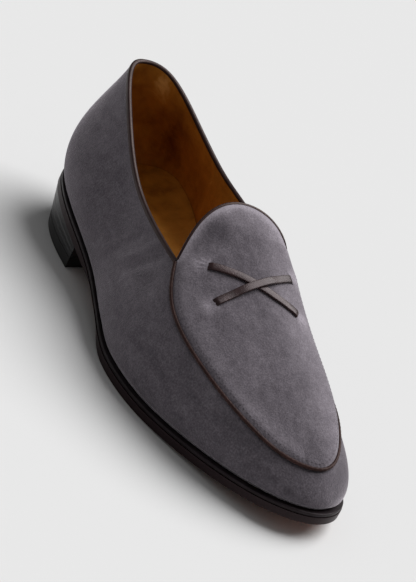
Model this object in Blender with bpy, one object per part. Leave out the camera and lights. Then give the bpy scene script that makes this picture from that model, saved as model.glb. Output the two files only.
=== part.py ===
"""Slip-on loafer with a raised apron, for the right foot, as separate closed solids.

The shoe stands on the floor at z = 0 with its toe towards +X and the outer side of the foot
towards -Y. Points are worked out along the last from its heel, across it with the inner side
positive, and up from the floor; the parent empty then centres the shoe over the origin.
"""

from typing import Callable, NamedTuple, Sequence

import bmesh
import bpy
import numpy as np

MM = 0.001

# Driving dimensions, in metres
LAST_LENGTH = 283 * MM
BALL_WIDTH = 97 * MM
BACK_HEIGHT = 65.5 * MM
HEEL_LIFT = 20.3 * MM
TOE_SPRING = 9.2 * MM
WALL = 2 * MM
GAP = 0.3 * MM
OUTSOLE_THICKNESS = 4 * MM
WELT_THICKNESS = 2 * MM
WELT_WIDTH = 11 * MM
INSOLE_THICKNESS = 2.5 * MM
TOP_LIFT_THICKNESS = 6 * MM
HEEL_TAPER = 1 * MM
HEEL_PITCH = 8 * MM
HEEL_FRONT = 0.258 * LAST_LENGTH
BREAST_SLOPE = 1 * MM
BREAST_HOLLOW_TOP = 9 * MM
BREAST_HOLLOW_FLOOR = 4 * MM
RUBBER_THICKNESS = 1.8 * MM
WAIST_BEVEL = 4 * MM
APRON_RAISE = 1.2 * MM
APRON_ROLL = 1.6 * MM
PIPING_RADIUS = 1.1 * MM
COLLAR_BINDING_WIDTH = 2.2 * MM
TONGUE_BINDING_WIDTH = 1.6 * MM
BINDING_THICKNESS = 0.6 * MM
STRIP_WIDTH = 4.2 * MM
STRIP_THICKNESS = 1.4 * MM

# The tread is flat on the floor between these shares of the last's length, and the sole rises
# from it to the heel and to the toe with these powers
TREAD_START = 0.55
TREAD_END = 0.68
HEEL_CURVE = 1.35
TOE_CURVE = 1.7

# The lower edge of the sole is drawn in round this share of the length, over about this reach
WAIST_MIDDLE = 0.40
WAIST_REACH = 0.08

# The wall's two bellies sit at these shares of its rise, from its foot and from its edge
LOW_BELLY_RISE = 0.40
HIGH_BELLY_DROP = 0.35

# Powers of the apron's rise from its two edges
LATERAL_CURVE = 0.65
MEDIAL_CURVE = 0.38

# The upper is sampled this often between two ribs, up its wall, over the tongue and the apron
RING_STEPS = 5
WALL_STEPS = 9
TONGUE_STEPS = 8
APRON_STEPS = 14
SOLE_STEPS = 44


class Rib(NamedTuple):
    """A section of the wall, from its foot on the welt to its edge at the collar or the apron.

    Along is in shares of the last's length, across in shares of half the ball width and up in
    shares of the back's height above the welt. The bellies push the wall outward, in millimetres.
    """

    foot_along: float
    foot_across: float
    edge_along: float
    edge_across: float
    edge_up: float
    low_belly: float
    high_belly: float


class EdgePoint(NamedTuple):
    """A point of a free edge, in the same shares as a rib."""

    along: float
    across: float
    up: float


class CrestPoint(NamedTuple):
    """A height of the apron's crest, in the same shares as a rib."""

    along: float
    up: float


class Station(NamedTuple):
    """A width across the sole at one share of the last's length."""

    along: float
    lateral: float
    medial: float


# From the heel round the outer side to the toe, and back along the inner side
RIBS = (
    Rib(0.010, 0.00, 0.010, 0.00, 1.00, 14.0, 6.0),
    Rib(0.035, -0.41, 0.040, -0.26, 0.98, 13.0, 4.0),
    Rib(0.110, -0.65, 0.140, -0.44, 0.86, 9.0, 5.0),
    Rib(0.330, -0.78, 0.335, -0.59, 0.70, 3.0, 2.0),
    Rib(0.530, -1.00, 0.525, -0.65, 0.82, 5.0, 8.0),
    Rib(0.660, -0.98, 0.625, -0.81, 0.64, 4.0, 6.0),
    Rib(0.790, -0.75, 0.770, -0.69, 0.51, 4.0, 4.0),
    Rib(0.910, -0.43, 0.880, -0.44, 0.39, 3.5, 4.0),
    Rib(0.975, -0.13, 0.940, -0.13, 0.30, 3.0, 5.0),
    Rib(1.000, 0.19, 0.965, 0.19, 0.29, 3.0, 6.0),
    Rib(0.985, 0.48, 0.940, 0.42, 0.34, 4.0, 6.0),
    Rib(0.935, 0.73, 0.880, 0.58, 0.45, 5.0, 8.0),
    Rib(0.825, 0.90, 0.770, 0.70, 0.56, 5.0, 7.0),
    Rib(0.705, 0.99, 0.625, 0.76, 0.68, 4.0, 7.0),
    Rib(0.550, 0.79, 0.515, 0.70, 0.93, 3.0, 5.0),
    Rib(0.355, 0.53, 0.320, 0.59, 0.83, 0.5, 1.0),
    Rib(0.110, 0.65, 0.140, 0.47, 0.86, 9.0, 5.0),
    Rib(0.035, 0.41, 0.040, 0.28, 0.98, 13.0, 4.0),
)
LATERAL_JOIN = 4
TOE = 9
MEDIAL_JOIN = 14

# The tongue's free edge between the two joins
TONGUE_EDGE = (
    EdgePoint(0.505, -0.50, 0.95),
    EdgePoint(0.485, -0.34, 1.05),
    EdgePoint(0.465, -0.15, 1.14),
    EdgePoint(0.455, 0.10, 1.18),
    EdgePoint(0.465, 0.32, 1.17),
    EdgePoint(0.480, 0.48, 1.13),
    EdgePoint(0.500, 0.60, 1.06),
)

# The apron's crest, from the tongue's tip to the toe seam
CREST = (
    CrestPoint(0.455, 1.18),
    CrestPoint(0.510, 1.10),
    CrestPoint(0.585, 0.96),
    CrestPoint(0.670, 0.82),
    CrestPoint(0.770, 0.69),
    CrestPoint(0.875, 0.50),
    CrestPoint(0.940, 0.36),
    CrestPoint(0.965, 0.29),
)

RUBBER_STATIONS = (
    Station(0.465, -0.19, -0.19),
    Station(0.475, -0.43, 0.06),
    Station(0.495, -0.60, 0.33),
    Station(0.530, -0.72, 0.54),
    Station(0.585, -0.75, 0.70),
    Station(0.655, -0.70, 0.76),
    Station(0.725, -0.58, 0.74),
    Station(0.795, -0.42, 0.68),
    Station(0.865, -0.24, 0.59),
    Station(0.910, -0.05, 0.47),
    Station(0.933, 0.07, 0.38),
    Station(0.944, 0.16, 0.31),
    Station(0.947, 0.23, 0.23),
)

# Ends of the two crossed strips on the apron: its reach and its share from the outer edge
UNDER_STRIP_ENDS = ((0.09, 0.22), (0.24, 0.83))
OVER_STRIP_ENDS = ((0.215, 0.23), (0.135, 0.86))
STRIP_HOP_REACH = 0.24

# How far the sole stands out beyond the upper's foot, as share of length and millimetres
SOLE_MARGIN = ((0.0, 0.6), (0.2, 1.2), (0.3, 1.1), (0.45, 0.9), (0.58, 2.0), (1.0, 3.0))


def spline(knots: np.ndarray, rows: np.ndarray, closed: bool) -> Callable:
    """Give a curve of continuous curvature through the rows, straight or periodic at its ends."""
    spans = np.diff(knots)
    count = len(rows)
    matrix = np.zeros((count, count))
    right = np.zeros_like(rows)
    slopes = np.diff(rows, axis=0) / spans[:, None]
    for i in range(1, count - 1):
        matrix[i, i - 1: i + 2] = spans[i - 1], 2 * (spans[i - 1] + spans[i]), spans[i]
        right[i] = 6 * (slopes[i] - slopes[i - 1])
    matrix[0, 0] = 1
    matrix[-1, -1] = 1
    if closed:
        matrix[0, -1] = -1
        matrix[-1, [0, 1, -2, -1]] = 2 * spans[0], spans[0], spans[-1], 2 * spans[-1]
        right[-1] = 6 * (slopes[0] - slopes[-1])
    bends = np.linalg.solve(matrix, right)

    def at(position: float) -> np.ndarray:
        if closed:
            position = knots[0] + (position - knots[0]) % (knots[-1] - knots[0])
        i = int(np.clip(np.searchsorted(knots, position) - 1, 0, len(spans) - 1))
        after = position - knots[i]
        before = knots[i + 1] - position
        cubic = (bends[i] * before**3 + bends[i + 1] * after**3) / (6 * spans[i])
        start = rows[i] / spans[i] - bends[i] * spans[i] / 6
        end = rows[i + 1] / spans[i] - bends[i + 1] * spans[i] / 6
        return cubic + start * before + end * after

    return at


def chord_knots(points: np.ndarray) -> np.ndarray:
    """Measure along a chain of points."""
    steps = np.linalg.norm(np.diff(points, axis=0), axis=1)
    return np.concatenate(([0.0], np.cumsum(steps)))


def unit(vector: np.ndarray) -> np.ndarray:
    return vector / np.linalg.norm(vector)


def sole_lift(along: float) -> float:
    """Height of the sole's underside: the heel pitch, the flat tread and the toe spring."""
    share = along / LAST_LENGTH
    rise = np.clip((TREAD_START - share) / TREAD_START, 0, 1)
    spring = max(share - TREAD_END, 0) / (1 - TREAD_END)
    return HEEL_LIFT * np.sin(rise * np.pi / 2) ** HEEL_CURVE + TOE_SPRING * spring**TOE_CURVE


def outsole_top(along: float) -> float:
    return sole_lift(along) + OUTSOLE_THICKNESS


def welt_under(along: float) -> float:
    return outsole_top(along) + GAP


def welt_top(along: float) -> float:
    return welt_under(along) + WELT_THICKNESS


def upper_foot(along: float) -> float:
    return welt_top(along) + GAP


def placed(along: float, across: float, up: float) -> np.ndarray:
    """Turn a rib's shares into a point."""
    point_along = along * LAST_LENGTH
    return np.array((point_along, across * BALL_WIDTH / 2, upper_foot(point_along) + up * BACK_HEIGHT))


def fullness(share: float, reach: float) -> float:
    """Rise of the apron across its width: steep at its inner edge, an even arch on the tongue."""
    ease = np.clip(-2.5 * reach, 0, 1)
    lateral = LATERAL_CURVE + (1 - LATERAL_CURVE) * ease
    medial = MEDIAL_CURVE + (1 - MEDIAL_CURVE) * ease
    peak = lateral / (lateral + medial)
    return (share / peak) ** lateral * ((1 - share) / (1 - peak)) ** medial


class Last:
    """The form of the upper: a wall of ribs round the foot, and an apron with its tongue."""

    def __init__(self) -> None:
        ribs = RIBS + RIBS[:1]
        feet = np.array([placed(rib.foot_along, rib.foot_across, 0)[:2] for rib in ribs])
        edges = np.array([placed(rib.edge_along, rib.edge_across, rib.edge_up) for rib in RIBS])
        bellies = np.array([(rib.low_belly * MM, rib.high_belly * MM) for rib in ribs])
        self.knots = chord_knots(feet)
        self.foot_line = spline(self.knots, feet, closed=True)
        self.belly = spline(self.knots, bellies, closed=True)

        seam = np.arange(LATERAL_JOIN, MEDIAL_JOIN + 1)
        self.seam_edge = spline(self.knots[seam], edges[seam], closed=False)
        collar = np.arange(MEDIAL_JOIN, len(RIBS) + LATERAL_JOIN + 1)
        collar_knots = self.knots[collar % len(RIBS)] + self.knots[-1] * (collar >= len(RIBS))
        self.collar_edge = spline(collar_knots, edges[collar % len(RIBS)], closed=False)

        tip = [placed(*point) for point in TONGUE_EDGE]
        tongue = np.array([edges[LATERAL_JOIN], *tip, edges[MEDIAL_JOIN]])
        self.tongue_knots = chord_knots(tongue)
        self.tongue_edge = spline(self.tongue_knots, tongue, closed=False)
        crest = np.array([placed(point.along, 0, point.up) for point in CREST])
        self.crest_up = spline(crest[:, 0], crest[:, 2:], closed=False)

    def knot(self, rib: float) -> float:
        """Distance round the foot at a whole or part rib."""
        return float(np.interp(rib, np.arange(len(self.knots)), self.knots))

    def foot(self, distance: float, outward: float = 0.0) -> np.ndarray:
        """Point of the foot line, moved outward by a margin."""
        point = self.foot_line(distance)
        ahead = self.foot_line(distance + 0.5 * MM) - self.foot_line(distance - 0.5 * MM)
        normal = unit(np.array((ahead[1], -ahead[0])))
        return point + normal * outward

    def edge(self, distance: float) -> np.ndarray:
        """Upper end of a rib, on the apron seam or the collar."""
        if self.knot(LATERAL_JOIN) <= distance <= self.knot(MEDIAL_JOIN):
            return self.seam_edge(distance)
        if distance < self.knot(LATERAL_JOIN):
            distance += self.knots[-1]
        return self.collar_edge(distance)

    def wall(self, distance: float, height: float) -> np.ndarray:
        """Point of the wall at a share of the rib's height."""
        plan = self.foot(distance)
        foot = np.array((*plan, upper_foot(plan[0])))
        edge = self.edge(distance)
        outward = np.array((*(self.foot(distance, 1.0) - plan), 0))
        low_belly, high_belly = self.belly(distance)
        rise = np.array((0, 0, edge[2] - foot[2]))
        low = foot + outward * low_belly + rise * LOW_BELLY_RISE
        high = edge + outward * high_belly - rise * HIGH_BELLY_DROP
        rest = 1 - height
        lower = rest**3 * foot + 3 * rest**2 * height * low
        return lower + 3 * rest * height**2 * high + height**3 * edge

    def apron_sides(self, reach: float) -> tuple[np.ndarray, np.ndarray]:
        """Outer and inner edge of the apron: 0 at the joins, 1 at the toe, -1 at the tongue's tip."""
        if reach >= 0:
            lateral = self.knot(LATERAL_JOIN + reach * (TOE - LATERAL_JOIN))
            medial = self.knot(MEDIAL_JOIN - reach * (MEDIAL_JOIN - TOE))
            return self.seam_edge(lateral), self.seam_edge(medial)
        tip = self.tongue_knots[len(TONGUE_EDGE) // 2 + 1]
        end = self.tongue_knots[-1]
        return self.tongue_edge(-reach * tip), self.tongue_edge(end + reach * (end - tip))

    def apron(self, reach: float, share: float) -> np.ndarray:
        """Point of the apron at a share of its width from the outer edge."""
        lateral, medial = self.apron_sides(reach)
        point = lateral + (medial - lateral) * share
        middle = (lateral + medial) / 2
        crown = self.crest_up(middle[0])[0] - middle[2]
        from_ends = min(middle[0] - CREST[0].along * LAST_LENGTH, CREST[-1].along * LAST_LENGTH - middle[0])
        from_edge = np.linalg.norm(medial - lateral) * min(share, 1 - share)
        inside = max(min(from_edge, from_ends), 0) + 5 * APRON_ROLL * np.clip(-4 * reach, 0, 1)
        point[2] += crown * fullness(share, reach)
        point[2] += APRON_RAISE * (1 - np.exp(-inside / APRON_ROLL))
        return point

    def apron_normal(self, reach: float, share: float) -> np.ndarray:
        step = 0.01
        along = self.apron(reach + step, share) - self.apron(reach - step, share)
        across = self.apron(reach, share + step) - self.apron(reach, share - step)
        return unit(np.cross(along, across))


class Rim(NamedTuple):
    """A vertex on an edge of the upper, with the wall's normal and the way into the wall."""

    point: np.ndarray
    normal: np.ndarray
    inward: np.ndarray


def new_object(name: str, mesh: bmesh.types.BMesh, material: bpy.types.Material) -> bpy.types.Object:
    """Hand a bmesh over to a named object under the shoe's parent."""
    bmesh.ops.recalc_face_normals(mesh, faces=mesh.faces)
    data = bpy.data.meshes.new(name)
    mesh.to_mesh(data)
    mesh.free()
    data.materials.append(material)
    obj = bpy.data.objects.new(name, data)
    obj.parent = bpy.data.objects["loafer"]
    bpy.context.scene.collection.objects.link(obj)
    return obj


def new_material(name: str, colour: Sequence[float], roughness: float) -> bpy.types.Material:
    material = bpy.data.materials.new(name)
    material.use_nodes = True
    shader = material.node_tree.nodes["Principled BSDF"]
    shader.inputs["Base Color"].default_value = (*colour, 1)
    shader.inputs["Roughness"].default_value = roughness
    return material


def sweep(sections: Sequence[Sequence[np.ndarray]], closed: bool) -> bmesh.types.BMesh:
    """Join equal sections in order into a solid ring, or into a bar with two end caps."""
    mesh = bmesh.new()
    loops = [[mesh.verts.new(point) for point in section] for section in sections]
    pairs = list(zip(loops, loops[1:]))
    if closed:
        pairs.append((loops[-1], loops[0]))
    else:
        mesh.faces.new(loops[0])
        mesh.faces.new(reversed(loops[-1]))
    for here, there in pairs:
        for i in range(len(here)):
            mesh.faces.new((here[i], here[i - 1], there[i - 1], there[i]))
    return mesh


def slab(under: Sequence[Sequence[np.ndarray]], over: Sequence[Sequence[np.ndarray]]) -> bmesh.types.BMesh:
    """Close the space between two grids of points; rows that shrink to a point become poles."""
    mesh = bmesh.new()
    sheets = [[[mesh.verts.new(point) for point in row] for row in grid] for grid in (under, over)]
    for sheet in sheets:
        for here, there in zip(sheet, sheet[1:]):
            for i in range(len(here) - 1):
                mesh.faces.new((here[i], here[i + 1], there[i + 1], there[i]))
    low, high = (
        sheet[0] + [row[-1] for row in sheet[1:]] + sheet[-1][-2::-1] + [row[0] for row in sheet[-2:0:-1]]
        for sheet in sheets
    )
    for i in range(len(low)):
        mesh.faces.new((low[i - 1], low[i], high[i], high[i - 1]))
    bmesh.ops.remove_doubles(mesh, verts=mesh.verts, dist=0.01 * MM)
    return mesh


def shell(last: Last) -> tuple[bmesh.types.BMesh, dict[str, list[Rim]]]:
    """Lay out the upper's outer face, and note its collar, seam and tongue edges."""
    mesh = bmesh.new()
    count = len(RIBS) * RING_STEPS
    lateral = LATERAL_JOIN * RING_STEPS
    toe = TOE * RING_STEPS
    medial = MEDIAL_JOIN * RING_STEPS
    heights = np.linspace(0, 1, WALL_STEPS + 1)
    ribs = []
    for i in range(count):
        distance = last.knot(i / RING_STEPS)
        ribs.append([mesh.verts.new(last.wall(distance, height)) for height in heights])
    for i in range(count):
        here = ribs[i - 1]
        there = ribs[i]
        for j in range(WALL_STEPS):
            mesh.faces.new((here[j], here[j + 1], there[j + 1], there[j]))

    # Apron rows run from the toe back to the joins, then over the tongue to its tip
    shares = (1 - np.cos(np.linspace(0, np.pi, APRON_STEPS + 1))) / 2
    rows = [[ribs[toe][-1]] * (APRON_STEPS + 1)]
    for i in range(1, toe - lateral + 1):
        reach = 1 - i / (toe - lateral)
        inner = [mesh.verts.new(last.apron(reach, share)) for share in shares[1:-1]]
        rows.append([ribs[toe - i][-1], *inner, ribs[toe + i][-1]])
    for i in range(1, TONGUE_STEPS):
        rows.append([mesh.verts.new(last.apron(-i / TONGUE_STEPS, share)) for share in shares])
    rows.append([mesh.verts.new(last.apron(-1, 0))] * (APRON_STEPS + 1))
    for here, there in zip(rows, rows[1:]):
        for j in range(APRON_STEPS):
            corners = dict.fromkeys((here[j], there[j], there[j + 1], here[j + 1]))
            mesh.faces.new(corners)
    bmesh.ops.recalc_face_normals(mesh, faces=mesh.faces)
    mesh.normal_update()

    def rim(vertex: bmesh.types.BMVert, inner: bmesh.types.BMVert) -> Rim:
        return Rim(np.array(vertex.co), np.array(vertex.normal), np.array(inner.co - vertex.co))

    tongue = rows[toe - lateral:]
    middle = tongue[0][APRON_STEPS // 2]
    collar_ribs = [ribs[i % count] for i in range(medial, count + lateral + 1)]
    rims = {
        "collar": [rim(rib[-1], rib[-2]) for rib in collar_ribs],
        "seam": [rim(ribs[i][-1], ribs[i][-2]) for i in range(lateral, medial + 1)],
        "tongue": [rim(row[0], middle) for row in tongue] + [rim(row[-1], middle) for row in tongue[-2::-1]],
    }
    return mesh, rims


def trimmed(rims: Sequence[Rim], share: float) -> list[Rim]:
    """Shorten a run of rims at both ends by a share of its end spans."""
    first = rims[0].point + (rims[1].point - rims[0].point) * share
    final = rims[-1].point + (rims[-2].point - rims[-1].point) * share
    return [rims[1]._replace(point=first), *rims[1:-1], rims[-2]._replace(point=final)]


def channel(rims: Sequence[Rim], width: float) -> bmesh.types.BMesh:
    """Fold a strip over an edge of the wall, clear of it on both faces."""
    sections = []
    outer = GAP + BINDING_THICKNESS
    profile = (
        (1.5 * GAP, width),
        (outer, width),
        (outer, -0.4 * outer),
        (0.4 * outer, -outer),
        (-WALL - 0.4 * outer, -outer),
        (-WALL - outer, -0.4 * outer),
        (-WALL - outer, width),
        (-WALL - 1.5 * GAP, width),
        (-WALL - GAP, -GAP),
        (GAP, -GAP),
    )
    for i, rim in enumerate(rims):
        run = unit(rims[min(i + 1, len(rims) - 1)].point - rims[max(i - 1, 0)].point)
        normal = unit(rim.normal - run * np.dot(rim.normal, run))
        down = np.cross(normal, run)
        down *= np.sign(np.dot(down, rim.inward))
        sections.append([rim.point + normal * out + down * deep for out, deep in profile])
    return sweep(sections, closed=False)


def piping(rims: Sequence[Rim]) -> bmesh.types.BMesh:
    """Run a round cord along the apron seam."""
    sections = []
    angles = np.linspace(0, 2 * np.pi, 8, endpoint=False)
    for i, rim in enumerate(rims):
        run = unit(rims[min(i + 1, len(rims) - 1)].point - rims[max(i - 1, 0)].point)
        normal = unit(rim.normal - run * np.dot(rim.normal, run))
        side = np.cross(run, normal)
        centre = rim.point + normal * (PIPING_RADIUS + GAP)
        ring = [centre + PIPING_RADIUS * (normal * np.cos(a) + side * np.sin(a)) for a in angles]
        sections.append(ring)
    return sweep(sections, closed=False)


def cross_strip(last: Last, start: Sequence[float], end: Sequence[float], hop: float) -> bmesh.types.BMesh:
    """Lay a flat strip over the apron, lifted in the middle where it passes over another."""
    sections = []
    shares = np.linspace(0, 1, 13)
    spots = [np.array(start) + (np.array(end) - np.array(start)) * share for share in shares]
    path = [last.apron(*spot) for spot in spots]
    for i, spot in enumerate(spots):
        run = unit(path[min(i + 1, len(path) - 1)] - path[max(i - 1, 0)])
        normal = last.apron_normal(*spot)
        side = unit(np.cross(normal, run)) * STRIP_WIDTH / 2
        low = GAP + hop * np.exp(-(((shares[i] - 0.5) / STRIP_HOP_REACH) ** 4))
        under = path[i] + normal * low
        over = under + normal * STRIP_THICKNESS
        sections.append([under - side, under + side, over + side, over - side])
    return sweep(sections, closed=False)


def sole_margin(along: float) -> float:
    shares, margins = np.array(SOLE_MARGIN).T
    return float(np.interp(along / LAST_LENGTH, shares, margins)) * MM


def sole_rows(last: Last, outward: Callable, up: Callable, columns: int) -> list[list[np.ndarray]]:
    """Lay a grid across the foot line from the heel to the toe, at a height that follows the sole."""
    rows = []
    for i in range(SOLE_STEPS + 1):
        share = i / SOLE_STEPS
        lateral = last.knot(TOE * share)
        medial = last.knot(len(RIBS) - (len(RIBS) - TOE) * share)
        sides = []
        for distance in (lateral, medial):
            along = last.foot(distance)[0]
            sides.append(last.foot(distance, outward(along)))
        row = [sides[0] + (sides[1] - sides[0]) * part for part in np.linspace(0, 1, columns)]
        rows.append([np.array((*point, up(point[0]))) for point in row])
    return rows


def waist_bevel(along: float) -> float:
    """Inset of the sole's lower edge under the arch."""
    share = along / LAST_LENGTH
    return WAIST_BEVEL * np.exp(-(((share - WAIST_MIDDLE) / WAIST_REACH) ** 2))


def outsole_mesh(last: Last) -> bmesh.types.BMesh:
    under = sole_rows(last, lambda along: sole_margin(along) - waist_bevel(along), sole_lift, 4)
    return slab(under, sole_rows(last, sole_margin, outsole_top, 4))


def welt_mesh(last: Last) -> bmesh.types.BMesh:
    sections = []
    for i in range(len(RIBS) * RING_STEPS):
        distance = last.knot(i / RING_STEPS)
        margin = sole_margin(last.foot(distance)[0]) - GAP
        outer = last.foot(distance, margin)
        inner = last.foot(distance, margin - WELT_WIDTH)
        section = []
        for point, height in ((outer, welt_under), (outer, welt_top), (inner, welt_top), (inner, welt_under)):
            section.append(np.array((*point, height(point[0]))))
        sections.append(section)
    return sweep(sections, closed=True)


def insole_mesh(last: Last) -> bmesh.types.BMesh:
    inset = -(WALL + 2 * GAP)
    under = sole_rows(last, lambda along: inset, upper_foot, 4)
    over = sole_rows(last, lambda along: inset, lambda along: upper_foot(along) + INSOLE_THICKNESS, 4)
    return slab(under, over)


def rubber_mesh(bottom: Callable, top: Callable, outward: float) -> bmesh.types.BMesh:
    """Fill the oval in the forepart between two heights."""
    lateral = [(row.along * LAST_LENGTH, row.lateral * BALL_WIDTH / 2) for row in RUBBER_STATIONS]
    medial = [(row.along * LAST_LENGTH, row.medial * BALL_WIDTH / 2) for row in RUBBER_STATIONS]
    outline = np.array(lateral + medial[-2:0:-1] + lateral[:1])
    knots = chord_knots(outline)
    curve = spline(knots, outline, closed=True)
    stations = len(RUBBER_STATIONS) - 1
    under = []
    over = []
    for i in range(2 * stations + 1):
        sides = []
        for rib in (i / 2, 2 * stations - i / 2):
            distance = np.interp(rib, np.arange(len(knots)), knots)
            ahead = curve(distance + 0.5 * MM) - curve(distance - 0.5 * MM)
            normal = unit(np.array((ahead[1], -ahead[0])))
            sides.append(curve(distance) + normal * outward)
        row = [sides[0] + (sides[1] - sides[0]) * part for part in np.linspace(0, 1, 4)]
        under.append([np.array((*point, bottom(point[0]))) for point in row])
        over.append([np.array((*point, top(point[0]))) for point in row])
    return slab(under, over)


def heel_rows(last: Last, depth: float, up: Callable) -> list[list[np.ndarray]]:
    """Lay a grid over the heel's plan, at a depth from 0 under the sole to 1 on the floor.

    The plan's back is pitched forward and its sides are drawn in on the way down, and its front
    edge is hollowed towards the back.
    """
    front = HEEL_FRONT - BREAST_SLOPE * depth
    hollow = BREAST_HOLLOW_TOP + (BREAST_HOLLOW_FLOOR - BREAST_HOLLOW_TOP) * depth
    rows = []
    steps = 16
    limits = []
    for first, final in ((0, 4), (len(RIBS), len(RIBS) - 4)):
        ribs = np.linspace(first, final, 400)
        along = np.array([last.foot(last.knot(rib))[0] for rib in ribs])
        limits.append(np.interp(front, along, ribs))
    for i in range(steps + 1):
        share = (i / steps) ** 1.3
        sides = []
        for first, limit in zip((0, len(RIBS)), limits):
            distance = last.knot(first + (limit - first) * share)
            along = last.foot(distance)[0]
            side = last.foot(distance, sole_margin(along) - HEEL_TAPER * depth)
            side[0] += HEEL_PITCH * depth * (1 - side[0] / front)
            sides.append(side)
        row = []
        for part in np.linspace(0, 1, 9):
            point = sides[0] + (sides[1] - sides[0]) * part
            point[0] -= hollow * share**3 * (1 - (2 * part - 1) ** 2)
            row.append(np.array((*point, up(point[0]))))
        rows.append(row)
    return rows


def heel_mesh(last: Last) -> bmesh.types.BMesh:
    floor = TOP_LIFT_THICKNESS + GAP
    under = heel_rows(last, 1 - floor / HEEL_LIFT, lambda along: floor)
    return slab(under, heel_rows(last, 0, lambda along: sole_lift(along) - GAP))


def top_lift_mesh(last: Last) -> bmesh.types.BMesh:
    under = heel_rows(last, 1, lambda along: 0.0)
    return slab(under, heel_rows(last, 1 - TOP_LIFT_THICKNESS / HEEL_LIFT, lambda along: TOP_LIFT_THICKNESS))


def build() -> None:
    """Make every piece of the shoe."""
    for obj in list(bpy.data.objects):
        bpy.data.objects.remove(obj, do_unlink=True)

    last = Last()
    parent = bpy.data.objects.new("loafer", None)
    bpy.context.scene.collection.objects.link(parent)

    suede = new_material("grey_suede", (0.085, 0.079, 0.092), 0.95)
    binding_leather = new_material("binding_leather", (0.045, 0.028, 0.026), 0.5)
    piping_leather = new_material("piping_leather", (0.055, 0.032, 0.028), 0.5)
    tongue_leather = new_material("tongue_leather", (0.045, 0.028, 0.026), 0.5)
    strip_leather = new_material("strip_leather", (0.05, 0.032, 0.03), 0.45)
    over_leather = new_material("over_strip_leather", (0.05, 0.032, 0.03), 0.45)
    sock_leather = new_material("sock_leather", (0.28, 0.13, 0.03), 0.55)
    welt_leather = new_material("welt_leather", (0.018, 0.014, 0.015), 0.4)
    sole_leather = new_material("sole_leather", (0.24, 0.085, 0.045), 0.45)
    tread_rubber = new_material("tread_rubber", (0.014, 0.014, 0.018), 0.8)
    heel_leather = new_material("heel_leather", (0.016, 0.013, 0.015), 0.4)
    lift_leather = new_material("lift_leather", (0.22, 0.075, 0.045), 0.5)

    mesh, rims = shell(last)
    upper = new_object("upper", mesh, suede)
    solidify = upper.modifiers.new("wall", "SOLIDIFY")
    solidify.thickness = WALL
    solidify.offset = -1
    solidify.use_even_offset = True

    new_object("collar_binding", channel(trimmed(rims["collar"], 0.3), COLLAR_BINDING_WIDTH), binding_leather)
    new_object("tongue_binding", channel(trimmed(rims["tongue"], 0.5), TONGUE_BINDING_WIDTH), tongue_leather)
    new_object("apron_piping", piping(trimmed(rims["seam"], 0.3)), piping_leather)

    hop = STRIP_THICKNESS + 2 * GAP
    new_object("cross_strip_under", cross_strip(last, *UNDER_STRIP_ENDS, 0), strip_leather)
    new_object("cross_strip_over", cross_strip(last, *OVER_STRIP_ENDS, hop), over_leather)

    new_object("insole", insole_mesh(last), sock_leather)
    new_object("welt", welt_mesh(last), welt_leather)

    outsole = new_object("outsole", outsole_mesh(last), sole_leather)
    pocket = rubber_mesh(
        lambda along: sole_lift(along) - RUBBER_THICKNESS,
        lambda along: sole_lift(along) + RUBBER_THICKNESS + GAP,
        GAP,
    )
    cutter = new_object("rubber_pocket", pocket, tread_rubber)
    cutter.hide_render = True
    cutter.display_type = "WIRE"
    cut = outsole.modifiers.new("rubber_pocket", "BOOLEAN")
    cut.operation = "DIFFERENCE"
    cut.solver = "EXACT"
    cut.object = cutter
    rubber = rubber_mesh(sole_lift, lambda along: sole_lift(along) + RUBBER_THICKNESS, 0)
    new_object("forepart_rubber", rubber, tread_rubber)

    new_object("heel_stack", heel_mesh(last), heel_leather)
    new_object("top_lift", top_lift_mesh(last), lift_leather)

    corners = np.array([vertex.co for obj in parent.children for vertex in obj.data.vertices])
    centre = (corners.min(axis=0) + corners.max(axis=0)) / 2
    parent.location = (-centre[0], -centre[1], 0)


build()
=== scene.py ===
"""Looks of a suede apron loafer for the right foot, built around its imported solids.

The shoe stands on the floor at z = 0 with its toe towards +X and the outer side of the foot
towards -Y. Forms are worked out along the last from its heel, across it with the inner side
positive, and up from the floor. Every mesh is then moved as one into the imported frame.
"""

import logging
import math
from dataclasses import dataclass
from enum import Enum
from functools import cache, partial
from typing import Callable, NamedTuple, Sequence

import bmesh
import bpy
import numpy as np
from mathutils import Matrix, Vector
from mathutils.bvhtree import BVHTree
from mathutils.kdtree import KDTree

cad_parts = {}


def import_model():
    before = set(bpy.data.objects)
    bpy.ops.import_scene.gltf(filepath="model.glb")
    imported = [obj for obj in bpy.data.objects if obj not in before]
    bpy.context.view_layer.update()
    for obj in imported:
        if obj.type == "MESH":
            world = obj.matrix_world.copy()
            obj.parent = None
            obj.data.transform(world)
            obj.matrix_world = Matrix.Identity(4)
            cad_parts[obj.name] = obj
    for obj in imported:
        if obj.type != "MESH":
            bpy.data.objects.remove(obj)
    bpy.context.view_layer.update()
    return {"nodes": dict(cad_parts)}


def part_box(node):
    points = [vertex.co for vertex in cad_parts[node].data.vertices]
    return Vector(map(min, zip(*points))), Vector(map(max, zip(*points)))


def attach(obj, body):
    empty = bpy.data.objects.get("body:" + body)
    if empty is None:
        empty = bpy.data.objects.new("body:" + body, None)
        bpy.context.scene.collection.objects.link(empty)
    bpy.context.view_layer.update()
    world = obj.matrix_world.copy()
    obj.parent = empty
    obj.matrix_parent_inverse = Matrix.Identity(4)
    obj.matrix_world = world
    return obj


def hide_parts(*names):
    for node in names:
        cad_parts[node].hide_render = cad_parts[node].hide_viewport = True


LOG = logging.getLogger("loafer")
MM = 0.001
WELD = 0.002 * MM
TINY = 1e-12
BEVEL_SEGMENTS = 2
CORNER_POINTS = 5
OUTLINE_STEPS = 4000

Array = np.ndarray
Mesh = bmesh.types.BMesh
Material = bpy.types.Material
Socket = bpy.types.NodeSocket
Placement = Callable[[Array, Array], Array]
Profile = Callable[[Array], Array]
Colour = tuple[float, float, float]
Cells = tuple[int, int]


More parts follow.
